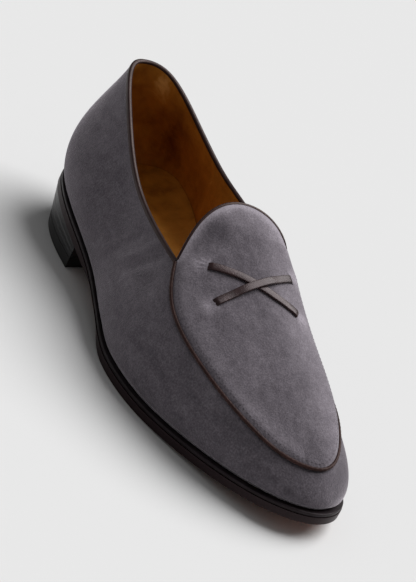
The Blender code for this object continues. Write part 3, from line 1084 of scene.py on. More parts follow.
@dataclass(frozen=True)
class Suede:
    """Brushed suede: a mottled nap with a soft sheen."""

    name: str
    dark: Colour
    middle: Colour
    light: Colour
    # Top colour of the ramp, reached mostly where painted light lifts the tone
    pale: Colour
    stops: tuple[float, ...] = (0.34, 0.50, 0.70, 1.0)
    nap_mm: float = 0.9
    patch_mm: float = 5.0
    brush_mm: float = 14.0
    fibre_mm: float = 0.35
    nap_weight: float = 0.50
    patch_weight: float = 0.25
    brush_weight: float = 0.25
    nap_depth_mm: float = 0.25
    fibre_depth_mm: float = 0.10
    roughness: float = 0.95
    shine: float = 0.15
    sheen: float = 0.9
    sheen_roughness: float = 0.38
    sheen_tint: Colour = (0.80, 0.74, 0.80)

    @cache
    def material(self) -> Material:
        """Wire the nap's colour, sheen and bump.

        Returns:
            The material.
        """
        shading = Shading(self.name, self.roughness)
        nap = shading.noise(self.nap_mm, detail=3)
        patch = shading.noise(self.patch_mm, detail=3, twist=0.6)
        brush = shading.noise(self.brush_mm, detail=2, stretch=(1.6, 0.7, 0.7), twist=0.8)
        mottle = shading.weighted(
            ((patch, self.patch_weight), (brush, self.brush_weight), (nap, self.nap_weight))
        )
        # Painted light and shade from the mesh raise or lower the mottle
        tone = shading.math(Operation.ADD, mottle, shading.mark(Mark.TONE))
        colours = (self.dark, self.middle, self.light, self.pale)
        shading.set(Base_Color=shading.ramp(tone, list(zip(self.stops, colours))))
        shading.set(
            Specular_IOR_Level=self.shine,
            Sheen_Weight=self.sheen,
            Sheen_Roughness=self.sheen_roughness,
            Sheen_Tint=(*self.sheen_tint, 1),
        )
        fibre = shading.noise(self.fibre_mm, detail=2)
        shading.bump(((nap, self.nap_depth_mm), (fibre, self.fibre_depth_mm)))
        return shading.material


@dataclass(frozen=True)
class Calf:
    """Smooth leather with a fine grain, which may carry colours for painted shade and painted light in
    places.
    """

    name: str
    dark: Colour
    light: Colour
    roughness: float = 0.45
    shine: float = 0.5
    glow: Colour = (1.0, 1.0, 1.0)
    # Colours for painted shade and painted light, reached where the painted tone is low or high
    painted_shade_colour: Colour | None = None
    painted_light_colour: Colour | None = None
    dark_stop: float = 0.32
    light_stop: float = 0.68
    polish: float = 0.08
    patch_mm: float = 9.0
    grain_mm: float = 0.6
    grain_depth_mm: float = 0.04
    swell_mm: float = 2.5
    swell_depth_mm: float = 0.05

    @cache
    def material(self) -> Material:
        """Wire the leather's colour, grain and gloss.

        Returns:
            The material.
        """
        shading = Shading(self.name, self.roughness)
        patch = shading.noise(self.patch_mm, detail=4, twist=0.4)
        # Painted light and shade from the mesh shift the patch's tone
        tone = shading.math(Operation.ADD, patch, shading.mark(Mark.TONE))
        stops = [(self.dark_stop, self.dark), (self.light_stop, self.light)]
        if self.painted_shade_colour:
            stops.insert(0, (0.0, self.painted_shade_colour))
        if self.painted_light_colour:
            stops.append((1.0, self.painted_light_colour))
        shading.set(Base_Color=shading.ramp(tone, stops))
        shading.rough(patch, self.roughness + self.polish, self.roughness - self.polish)
        shading.set(Specular_IOR_Level=self.shine, Specular_Tint=(*self.glow, 1))
        grain = shading.cells(self.grain_mm)
        swell = shading.noise(self.swell_mm, detail=2)
        shading.bump(((grain, self.grain_depth_mm), (swell, self.swell_depth_mm)))
        return shading.material


@dataclass(frozen=True)
class SoleLeather:
    """Polished sole leather that darkens to a burnished rim and to lines cut along its edges."""

    name: str
    pale: Colour
    deep: Colour
    rim: Colour
    rim_mm: float = 1.5
    edge_lines_mm: tuple[float, ...] = ()
    breast_lines_mm: tuple[float, ...] = ()
    shine: float = 0.12
    deep_stop: float = 0.35
    pale_stop: float = 0.62
    rim_light: float = 1.5
    rim_out_mm: float = 0.8
    rim_in_mm: float = 0.4
    line_out_mm: float = 0.75
    line_in_mm: float = 0.25
    streak_mm: float = 6.0
    fleck_mm: float = 0.7
    streak_weight: float = 0.7
    fleck_weight: float = 0.3
    roughness: float = 0.4
    dull: float = 0.5
    polished: float = 0.32
    grain_mm: float = 0.5
    grain_depth_mm: float = 0.03

    @cache
    def material(self) -> Material:
        """Wire the bottom's colour by its distances from the edge and the heel's breast.

        Returns:
            The material.
        """
        shading = Shading(self.name, self.roughness)
        streak = shading.noise(self.streak_mm, detail=5, stretch=(5, 1, 1), twist=0.3)
        fleck = shading.noise(self.fleck_mm, detail=2)
        tone = shading.weighted(((streak, self.streak_weight), (fleck, self.fleck_weight)))
        body = shading.ramp(tone, ((self.deep_stop, self.deep), (self.pale_stop, self.pale)))
        lit_rim = tuple(self.rim_light * part for part in self.rim)
        edge = shading.ramp(fleck, ((0.3, self.rim), (0.7, lit_rim)))
        near_edge = shading.mapped(
            shading.mark(Mark.FROM_EDGE),
            From_Min=self.rim_mm + self.rim_out_mm,
            From_Max=self.rim_mm - self.rim_in_mm,
        )
        colour = shading.blend(near_edge, body, edge)
        lines = [(Mark.FROM_EDGE, line) for line in self.edge_lines_mm]
        lines.extend((Mark.FROM_BREAST, line) for line in self.breast_lines_mm)
        for mark, line in lines:
            offset = shading.math(Operation.SUBTRACT, shading.mark(mark), line)
            away = shading.math(Operation.ABSOLUTE, offset)
            on_line = shading.mapped(away, From_Min=self.line_out_mm, From_Max=self.line_in_mm)
            colour = shading.blend(on_line, colour, edge)
        shading.set(Base_Color=colour)
        shading.rough(streak, self.dull, self.polished)
        shading.set(Specular_IOR_Level=self.shine)
        shading.bump(((shading.noise(self.grain_mm, detail=3), self.grain_depth_mm),))
        return shading.material


@dataclass(frozen=True)
class Rubber:
    """Matt black rubber with a fine moulded grain."""

    name: str
    dark: Colour
    light: Colour
    roughness: float = 0.75
    dust_mm: float = 7.0
    pebble_mm: float = 0.8
    pebble_depth_mm: float = 0.12
    grain_mm: float = 0.3
    grain_depth_mm: float = 0.04

    @cache
    def material(self) -> Material:
        """Wire the rubber's colour and grain.

        Returns:
            The material.
        """
        shading = Shading(self.name, self.roughness)
        dust = shading.noise(self.dust_mm, detail=5)
        shading.set(Base_Color=shading.ramp(dust, ((0.35, self.dark), (0.70, self.light))))
        pebble = shading.cells(self.pebble_mm)
        grain = shading.noise(self.grain_mm)
        shading.bump(((pebble, self.pebble_depth_mm), (grain, self.grain_depth_mm)))
        return shading.material


@dataclass(frozen=True)
class Brass:
    """Dull brass of the heel's nails."""

    name: str
    bright: Colour
    dull: Colour
    roughness: float = 0.35
    tarnish_mm: float = 0.8
    grain_mm: float = 0.3
    grain_depth_mm: float = 0.02

    @cache
    def material(self) -> Material:
        """Wire the metal's tarnish.

        Returns:
            The material.
        """
        shading = Shading(self.name, self.roughness)
        tarnish = shading.noise(self.tarnish_mm, detail=4)
        shading.set(Base_Color=shading.ramp(tarnish, ((0.4, self.dull), (0.6, self.bright))))
        shading.set(Metallic=1.0)
        shading.bump(((shading.noise(self.grain_mm), self.grain_depth_mm),))
        return shading.material


# Tints of the light that the dark leathers throw back
WARM = (1.0, 0.74, 0.68)
ROSY = (1.0, 0.87, 0.90)

GREY_SUEDE = Suede(
    "grey_suede",
    dark=(0.058, 0.050, 0.059),
    middle=(0.103, 0.090, 0.104),
    light=(0.185, 0.164, 0.186),
    # Pale: reached mostly where painted light lifts the tone, as on the tongue's rim
    pale=(0.36, 0.325, 0.365),
)
GREY_THREAD = Calf("grey_thread", (0.056, 0.048, 0.057), (0.090, 0.079, 0.091), roughness=0.8, shine=0.2)
BINDING_CALF = Calf(
    "binding_calf", (0.016, 0.008, 0.008), (0.032, 0.018, 0.017), roughness=0.38, shine=0.20, glow=WARM
)
PIPING_CALF = Calf("piping_calf", (0.018, 0.009, 0.008), (0.042, 0.021, 0.019), shine=0.12, glow=WARM)
STRIP_CALF = Calf(
    "strip_calf", (0.015, 0.007, 0.007), (0.034, 0.017, 0.017), roughness=0.34, shine=0.28, glow=ROSY
)
# Near-black beads standing in as painted shadow inside the strips' cuts
SLIT_PAINTED_SHADOW = Calf("slit_painted_shadow", (0.008, 0.007, 0.008), (0.014, 0.012, 0.013), roughness=0.9, shine=0.1)
# The lining's darkest and palest colours are painted shade and painted light, laid on by its strokes
LINING_LEATHER = Calf(
    "lining_leather",
    dark=(0.30, 0.115, 0.014),
    light=(0.45, 0.190, 0.026),
    roughness=0.55,
    shine=0.2,
    painted_shade_colour=(0.13, 0.036, 0.005),
    painted_light_colour=(0.80, 0.46, 0.15),
)
# The sock's darkest and palest colours are painted shade under the heel and painted light towards the waist
SOCK_LEATHER = Calf(
    "sock_leather",
    dark=(0.42, 0.180, 0.020),
    light=(0.56, 0.250, 0.034),
    roughness=0.5,
    shine=0.2,
    painted_shade_colour=(0.20, 0.070, 0.006),
    painted_light_colour=(0.80, 0.42, 0.08),
)
WAXED_WELT = Calf(
    "waxed_welt", (0.010, 0.007, 0.008), (0.020, 0.015, 0.017), roughness=0.40, shine=0.15, glow=ROSY
)
WAXED_HEEL = Calf("waxed_heel", (0.004, 0.0035, 0.004), (0.009, 0.008, 0.009), roughness=0.32, shine=0.45)
OUTSOLE_LEATHER = SoleLeather(
    "sole_leather",
    pale=(0.31, 0.105, 0.052),
    deep=(0.20, 0.062, 0.032),
    rim=(0.018, 0.010, 0.011),
    edge_lines_mm=(4.4,),
    breast_lines_mm=(4.0, 8.0),
)
LIFT_LEATHER = SoleLeather(
    "lift_leather",
    pale=(0.31, 0.105, 0.052),
    deep=(0.22, 0.070, 0.036),
    rim=(0.005, 0.004, 0.004),
    rim_mm=0.8,
    shine=0.4,
)
TREAD_RUBBER = Rubber("tread_rubber", dark=(0.010, 0.010, 0.013), light=(0.022, 0.022, 0.027))
NAIL_BRASS = Brass("nail_brass", bright=(0.75, 0.55, 0.25), dull=(0.45, 0.30, 0.12))

Finish = Suede | Calf | SoleLeather | Rubber | Brass


@dataclass(frozen=True)
class Bench:
    """Where meshes become pieces of the shoe, with edges sharper than an angle shaded crisp."""

    shift: Vector
    sharp_degrees: float = 50.0

    def piece(
        self,
        name: str,
        mesh: Mesh,
        finish: Finish,
        slot: Slot,
        replaces: Sequence[str] = (),
        wall: float = 0.0,
    ) -> None:
        """Hand a mesh over to a named piece that rides with the shoe.

        Args:
            name: Name of the piece.
            mesh: Its mesh, on the last.
            finish: What it is dressed in.
            slot: The record's slot that the finish goes with; not used.
            replaces: Solids that the piece stands for.
            wall: Thickness of the wall behind a sheet's face.
        """
        bmesh.ops.translate(mesh, vec=self.shift, verts=mesh.verts)
        data = bpy.data.meshes.new(name)
        mesh.to_mesh(data)
        mesh.free()
        data.shade_smooth()
        data.set_sharp_from_angle(angle=math.radians(self.sharp_degrees))
        data.materials.append(finish.material())
        piece = bpy.data.objects.new(name, data)
        bpy.context.scene.collection.objects.link(piece)
        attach(piece, "root")
        if replaces:
            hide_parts(*replaces)
        if wall:
            solidify = piece.modifiers.new("wall", "SOLIDIFY")
            solidify.thickness = wall
            solidify.offset = -1
        LOG.info("%s: %d faces", name, len(data.polygons))


class Slit(NamedTuple):
    """A cut in the apron: its middle, and the directions out of it, beyond it and along it."""

    centre: Array
    out: Array
    beyond: Array
    side: Array


@dataclass(frozen=True)
class CrossStrips:
    """Two flat strips that cross over the apron and go into slits."""

    last: Last
    bench: Bench
    width: float = 4.2 * MM
    thickness: float = 1.3 * MM
    corner: float = 0.45 * MM
    dome: float = 0.12 * MM
    seat: float = 0.15 * MM
    dip: float = 1.9 * MM
    dip_reach: float = 3.4 * MM
    tail: float = 1.6 * MM
    hop_reach: float = 0.24
    hop_power: int = 4
    slit_length: float = 6.0 * MM
    slit_width: float = 0.8 * MM
    slit_height: float = 0.5 * MM
    slit_facets: Cells = (20, 10)
    steps: int = 120

    def slits(self) -> list[Slit]:
        """Find the four cuts where the strips go through the apron.

        Returns:
            The cuts, two for each strip.
        """
        slits = []
        for run in STRIP_RUNS:
            for end, other in ((run.start, run.end), (run.end, run.start)):
                spots = np.array((end, other))
                centre, far = self.last.apron_at(spots[:, 0], spots[:, 1])
                out = normals_of(self.last.apron_at, spots[:1, 0], spots[:1, 1])[0]
                beyond = centre - far
                beyond = unit(beyond - out * np.dot(beyond, out))
                slits.append(Slit(centre, out, beyond, np.cross(out, beyond)))
        return slits

    def path(self, run: StripRun) -> Bar:
        """Carry a strip over the apron from slit to slit, with a tail below each.

        Args:
            run: Where the strip goes.

        Returns:
            The strip's path along its underside.
        """
        first, final = np.array(run.start), np.array(run.end)
        ends = self.last.apron_at(*np.column_stack((first, final)))
        over = self.tail / np.linalg.norm(ends[1] - ends[0])
        shares = np.linspace(-over, 1 + over, self.steps + 1)
        spots = first + np.outer(shares, final - first)
        ground = self.last.apron_at(spots[:, 0], spots[:, 1])
        outs = normals_of(self.last.apron_at, spots[:, 0], spots[:, 1])
        measure = chord_knots(ground)
        from_end = np.minimum(measure, measure[-1] - measure)
        hop = run.layer * (self.thickness + 2 * self.seat)
        rise = self.seat + hop * np.exp(-(((shares - 0.5) / self.hop_reach) ** self.hop_power))
        rise = rise - self.dip * (1 - smooth_step(from_end / self.dip_reach))
        points = ground + outs * rise[:, None]
        ahead = unit(np.gradient(points, axis=0))
        sides = unit(np.cross(outs, ahead))
        return Bar(points, np.cross(ahead, sides), sides)

    def section(self) -> Array:
        """Draw a flat strip with turned edges and a slightly domed face.

        Returns:
            Rows of (out, side) offsets.
        """
        section = oblong_section(0, self.thickness, self.width / 2, self.corner)
        dome = self.dome * (1 - (section[:, 1] / (self.width / 2)) ** 2)
        section[:, 0] += np.where(section[:, 0] > self.thickness / 2, dome, 0)
        return section

    def slit_mesh(self) -> Mesh:
        """Make dark lens-shaped beads under the strips' ends, as painted shadow inside the cuts.

        Returns:
            The openings as one mesh.
        """
        mesh = bmesh.new()
        size = (self.slit_width / 2, self.slit_length / 2, self.slit_height / 2)
        for slit in self.slits():
            place = standing(slit.centre, (slit.beyond, slit.side, slit.out))
            add_bead(mesh, place, size, self.slit_facets)
        return mesh

    def build(self) -> None:
        """Make the strips and the painted shadows of their slits."""
        for run in STRIP_RUNS:
            mesh = self.path(run).mesh(self.section())
            self.bench.piece(run.name, mesh, STRIP_CALF, Slot.STRIP, [f"cross_{run.name}"])
        self.bench.piece("strip_slit_shadows", self.slit_mesh(), SLIT_PAINTED_SHADOW, Slot.STRIP)


@dataclass(frozen=True)
class Pucker:
    """Relief of the suede round a slit, in millimetres: a lip beyond it, a dip and a fan of folds."""

    cut: float = 0.3
    lip: float = 0.75
    lip_fade: float = 3.0
    lip_width: float = 3.4
    dip: float = 0.35
    dip_reach: float = 2.6
    dip_width: float = 3.2
    fan: float = 0.22
    fan_pitch: float = 1.6
    fan_spread: float = 0.25
    fan_start: float = 3.4
    fan_reach: float = 2.6
    fan_width: float = 4.2

    def rise(self, slit: Slit, points: Array) -> Array:
        """Work out the relief that one slit gives.

        Args:
            slit: The cut.
            points: Points of the apron.

        Returns:
            How far each point moves out.
        """
        beyond = (points - slit.centre) @ slit.beyond / MM
        side = (points - slit.centre) @ slit.side / MM
        past = np.maximum(beyond, 0)
        lip = smooth_step((beyond + self.cut) / (2 * self.cut)) * np.exp(-past / self.lip_fade)
        lip = lip * bell(side / self.lip_width)
        dip = smooth_step((self.cut - beyond) / (2 * self.cut)) * bell(beyond / self.dip_reach)
        dip = dip * bell(side / self.dip_width)
        fan = np.cos(2 * np.pi * side / (self.fan_pitch + self.fan_spread * past))
        fan = fan * bell((beyond - self.fan_start) / self.fan_reach) * bell(side / self.fan_width)
        return (self.lip * lip - self.dip * dip + self.fan * fan) * MM


@dataclass(frozen=True)
class ApronPaintedLight:
    """Painted light on the apron's suede: lighter on the tongue and its rim, along the sides and by the
    slits, with a darker patch on the tongue.
    """

    tongue: float = 0.28
    tongue_start: float = 5 * MM
    tongue_fade: float = 30 * MM
    inner: float = 0.17
    inner_fade: float = 24 * MM
    outer: float = 0.12
    outer_inset: float = 6 * MM
    outer_reach: float = 5 * MM
    rim: float = 0.33
    rim_reach: float = 3.6 * MM
    rim_steps: int = 600
    shade: float = -0.26
    shade_reach: float = 7 * MM
    shade_spot: tuple[float, float] = (-0.30, 0.22)
    slit: float = 0.28
    slit_beyond: float = 4 * MM
    slit_reach: float = 4.5 * MM

    def tone(self, last: Last, slits: Sequence[Slit], seam: Track, points: Array) -> Array:
        """Work out the painted light and shade of the apron.

        Args:
            last: The form that the apron lies on.
            slits: Cuts in the apron.
            seam: The apron's seam.
            points: Points of the apron.

        Returns:
            A tone for each point, above 0 where painted light makes it lighter.
        """
        middle = last.apron_at(np.zeros(1), np.full(1, 0.5))[0]
        tone = self.tongue * smooth_step((middle[0] + self.tongue_start - points[:, 0]) / self.tongue_fade)
        tone += self.inner * smooth_step((points[:, 1] - middle[1]) / self.inner_fade)
        by_seam = bell((seam.away(points) - self.outer_inset) / self.outer_reach)
        tone += self.outer * by_seam * (points[:, 1] < middle[1])
        rim = Track(last.tongue_line(np.linspace(0, last.tongue_knots[-1], self.rim_steps)))
        tone += self.rim * bell(rim.away(points) / self.rim_reach)
        shade = last.apron_at(*np.array(self.shade_spot).reshape(2, 1))[0]
        tone += self.shade * bell(np.linalg.norm(points - shade, axis=1) / self.shade_reach)
        for slit in slits:
            spot = slit.centre + slit.beyond * self.slit_beyond
            tone += self.slit * bell(np.linalg.norm(points - spot, axis=1) / self.slit_reach)
        return tone


@dataclass(frozen=True)
class Upper:
    """The suede wall and apron, with the leather lining behind them."""

    last: Last
    bench: Bench
    slits: Sequence[Slit]
    pucker: Pucker = Pucker()
    # Painted light and shade on the apron's suede
    nap: ApronPaintedLight = ApronPaintedLight()
    wall_cells: Cells = (640, 60)
    apron_cells: Cells = (400, 110)
    wall_lining_cells: Cells = (240, 30)
    apron_lining_cells: Cells = (120, 40)
    tongue_share: float = 0.25
    skin: float = 1.2 * MM
    lining: float = 0.7 * MM
    lining_foot: float = 0.02
    lining_height: float = 0.965
    lining_side: float = 0.03
    lining_width: float = 0.94
    lining_tip: float = 0.016
    lining_length: float = 0.964
    pole_margin: float = 0.02
    toe_margin: float = 0.015
    crease_reach: float = 3.0
    crease_shoulder: float = 0.8
    foot_tuck: float = 1.1 * MM
    foot_reach: float = 1.4 * MM
    foot_drop: float = 0.35 * MM
    seam_tuck: float = 1.0 * MM
    seam_reach: float = 1.4 * MM
    seam_steps: int = 2400
    join_fade: float = 12 * MM
    flange: float = 1.6 * MM
    flange_reach: float = 0.1 * MM
    stitch_inset: float = 2.0 * MM
    stitch_pitch: float = 2.6 * MM
    stitch_length: float = 1.3 * MM
    stitch_radius: float = 0.11 * MM
    stitch_lift: float = 0.02 * MM
    stitch_start: float = 8 * MM
    stitch_span: int = 8
    stitch_facets: Cells = (8, 6)
    stitch_pull: float = 0.16 * MM
    pull_width: float = 0.8 * MM
    pull_between: float = 0.45
    drop_from: float = 30 * MM

    def off_edge(self, share: Array) -> Array:
        """Keep shares a little inside both edges, where a surface has its normals."""
        return np.clip(share, self.pole_margin, 1 - self.pole_margin)

    def wall_base(self, around: Array, height: Array) -> Array:
        """Find the plain wall by shares round the shoe and up it."""
        return self.last.wall_at(around * self.last.perimeter, spread(height))

    def wall_normals(self, around: Array, height: Array) -> Array:
        """Work out the plain wall's normals, taken a little inside its edges."""
        return normals_of(self.wall_base, around, self.off_edge(height))

    def crease_rise(self, points: Array) -> Array:
        """Work out the listed creases.

        Args:
            points: Points of the wall.

        Returns:
            How far each point moves out.
        """
        rise = np.zeros(len(points))
        for crease in WALL_CREASES:
            spot, along, up = self.last.wall_spot(crease.rib, crease.height)
            lean = math.radians(crease.lean_degrees)
            run = along * math.cos(lean) + up * math.sin(lean)
            cross = up * math.cos(lean) - along * math.sin(lean)
            away = points - spot
            length = crease.length_mm * MM
            lengthwise = bell(away @ run / length)
            crosswise = away @ cross / (crease.width_mm * MM)
            profile = (1 - self.crease_shoulder * crosswise**2) * bell(crosswise)
            near = bell(np.linalg.norm(away, axis=1) / (self.crease_reach * length))
            rise += crease.rise_mm * MM * lengthwise * profile * near
        return rise

    def wall_face(self, around: Array, height: Array) -> Array:
        """Place the suede wall, tucked in at the welt and at the apron seam.

        Args:
            around: Shares round the shoe, from the back of the heel.
            height: Shares up the wall.

        Returns:
            A point for each pair.
        """
        points = self.wall_base(around, height)
        normals = self.wall_normals(around, height)
        foot = self.wall_base(around, np.zeros_like(around))
        edge = self.wall_base(around, np.ones_like(around))
        above_foot = np.linalg.norm(points - foot, axis=1)
        below_edge = np.linalg.norm(points - edge, axis=1)
        first, final = self.last.joins
        distance = around * self.last.perimeter
        on_seam = smooth_step((distance - first) / self.join_fade)
        on_seam = on_seam * smooth_step((final - distance) / self.join_fade)
        rise = -self.foot_tuck * bell(above_foot / self.foot_reach)
        rise -= self.seam_tuck * bell(below_edge / self.seam_reach) * on_seam
        rise += self.crease_rise(points)
        points = points + normals * rise[:, None]
        points[:, 2] -= np.where(height < TINY, self.foot_drop, 0)
        return points

    def wall_back(self, around: Array, height: Array) -> Array:
        """Place the lining's face inside the wall, by shares round the shoe and up the lining."""
        height = self.lining_foot + self.lining_height * height
        return self.wall_base(around, height) - self.wall_normals(around, height) * self.last.wall

    def apron_base(self, reach: Array, share: Array) -> Array:
        """Find the plain apron by shares from the tongue's tip to the toe and from side to side."""
        placed = np.interp(reach, (0, self.tongue_share, 1), (-1, 0, 1))
        return self.last.apron_at(placed, spread(np.clip(share, 0, 1)))

    def apron_normals(self, reach: Array, share: Array) -> Array:
        """Work out the apron's normals, taken a little inside its two poles."""
        inside = np.clip(reach, self.pole_margin, 1 - self.toe_margin)
        return normals_of(self.apron_base, inside, self.off_edge(share))

    def seam_track(self) -> Track:
        """Follow the apron's seam from the outer join round the toe to the inner join."""
        return Track(self.last.seam_line(np.linspace(*self.last.joins, self.seam_steps)))

    def apron_face(self, reach: Array, share: Array) -> Array:
        """Place the suede apron, drawn in at its stitches, turned down at its seam and puckered.

        Args:
            reach: Shares from the tongue's tip to the toe.
            share: Shares from the outer side inwards.

        Returns:
            A point for each pair.
        """
        points = self.apron_base(reach, share)
        normals = self.apron_normals(reach, share)
        away, run = self.seam_track().nearest(points)
        beat = (0.5 + 0.5 * np.cos(2 * np.pi * run / self.stitch_pitch)) ** 2
        row = bell((away - self.stitch_inset) / self.pull_width)
        rise = -self.stitch_pull * row * (self.pull_between + (1 - self.pull_between) * beat)
        rise -= np.where(away < self.flange_reach, self.flange, 0)
        for slit in self.slits:
            rise += self.pucker.rise(slit, points)
        return points + normals * rise[:, None]

    def apron_back(self, reach: Array, share: Array) -> Array:
        """Place the lining's face under the apron.

        Args:
            reach: Shares from the lining's end in the tongue to its end in the toe.
            share: Shares from the outer side inwards.

        Returns:
            A point for each pair.
        """
        share = self.lining_side + self.lining_width * share
        reach = self.lining_tip + self.lining_length * reach
        return self.apron_base(reach, share) - self.apron_normals(reach, share) * self.last.wall

    def brush(self, mesh: Mesh, strokes: Sequence[Stroke]) -> None:
        """Write the painted light and shade that soft strokes give to the wall or a lining.

        Args:
            mesh: Mesh that takes the tone.
            strokes: Where the painted light and shade lie.
        """
        points = points_of(mesh)
        tone = np.zeros(len(points))
        for stroke in strokes:
            spot, _, up = self.last.wall_spot(stroke.rib, stroke.height)
            rise = (points - spot) @ up
            across = np.linalg.norm(points - spot - np.outer(rise, up), axis=1)
            patch = bell(across / (stroke.length_mm * MM)) * bell(rise / (stroke.rise_mm * MM))
            tone += stroke.tone * patch
        write_mark(mesh, Mark.TONE, tone)

    def stitch_mesh(self, apron: Mesh) -> Mesh:
        """Lay short threads on the apron's face, along its edge.

        Args:
            apron: The apron's face.

        Returns:
            The threads as one mesh.
        """
        track = self.seam_track()
        ground = BVHTree.FromBMesh(apron)
        size = (self.stitch_length / 2, self.stitch_radius, self.stitch_radius)
        mesh = bmesh.new()
        first, final = self.stitch_start, track.runs[-1] - self.stitch_start
        for i in range(math.ceil(first / self.stitch_pitch), int(final / self.stitch_pitch)):
            k = int(np.searchsorted(track.runs, i * self.stitch_pitch))
            before = track.points[max(k - self.stitch_span, 0)]
            after = track.points[min(k + self.stitch_span, len(track.points) - 1)]
            ahead = unit(after - before)
            inward = unit(np.cross((0, 0, 1), ahead))
            above = track.points[k] + inward * self.stitch_inset + np.array((0, 0, self.drop_from))
            spot, out, _, _ = ground.ray_cast(Vector(above), Vector((0, 0, -1)))
            if spot is None:
                continue
            ahead = unit(ahead - np.array(out) * np.dot(ahead, out))
            place = standing(spot + out * self.stitch_lift, (ahead, np.cross(out, ahead), out))
            add_bead(mesh, place, size, self.stitch_facets)
        return mesh

    def build(self) -> None:
        """Make the wall, the apron, its stitches and the linings."""
        wall = sheet(*self.wall_cells, self.wall_face)
        # Painted shade on the wall beside the toe
        self.brush(wall, TOE_PAINTED_SHADE)
        self.bench.piece("suede_wall", wall, GREY_SUEDE, Slot.SUEDE, ["upper"], self.skin)

        apron = sheet(*self.apron_cells, self.apron_face)
        # Painted light on the apron, with a darker patch on the tongue
        tone = self.nap.tone(self.last, self.slits, self.seam_track(), points_of(apron))
        write_mark(apron, Mark.TONE, tone)
        stitches = self.stitch_mesh(apron)
        self.bench.piece("suede_apron", apron, GREY_SUEDE, Slot.SUEDE, ["upper"], self.skin)
        self.bench.piece("apron_stitches", stitches, GREY_THREAD, Slot.SUEDE)

        for name, cells, place in (
            ("wall_lining", self.wall_lining_cells, self.wall_back),
            ("apron_lining", self.apron_lining_cells, self.apron_back),
        ):
            mesh = sheet(*cells, place)
            bmesh.ops.reverse_faces(mesh, faces=mesh.faces)
            # Painted shade and painted light on the linings
            self.brush(mesh, LINING_PAINTED_SHADE_AND_LIGHT)
            self.bench.piece(name, mesh, LINING_LEATHER, Slot.SOCK, wall=self.lining)


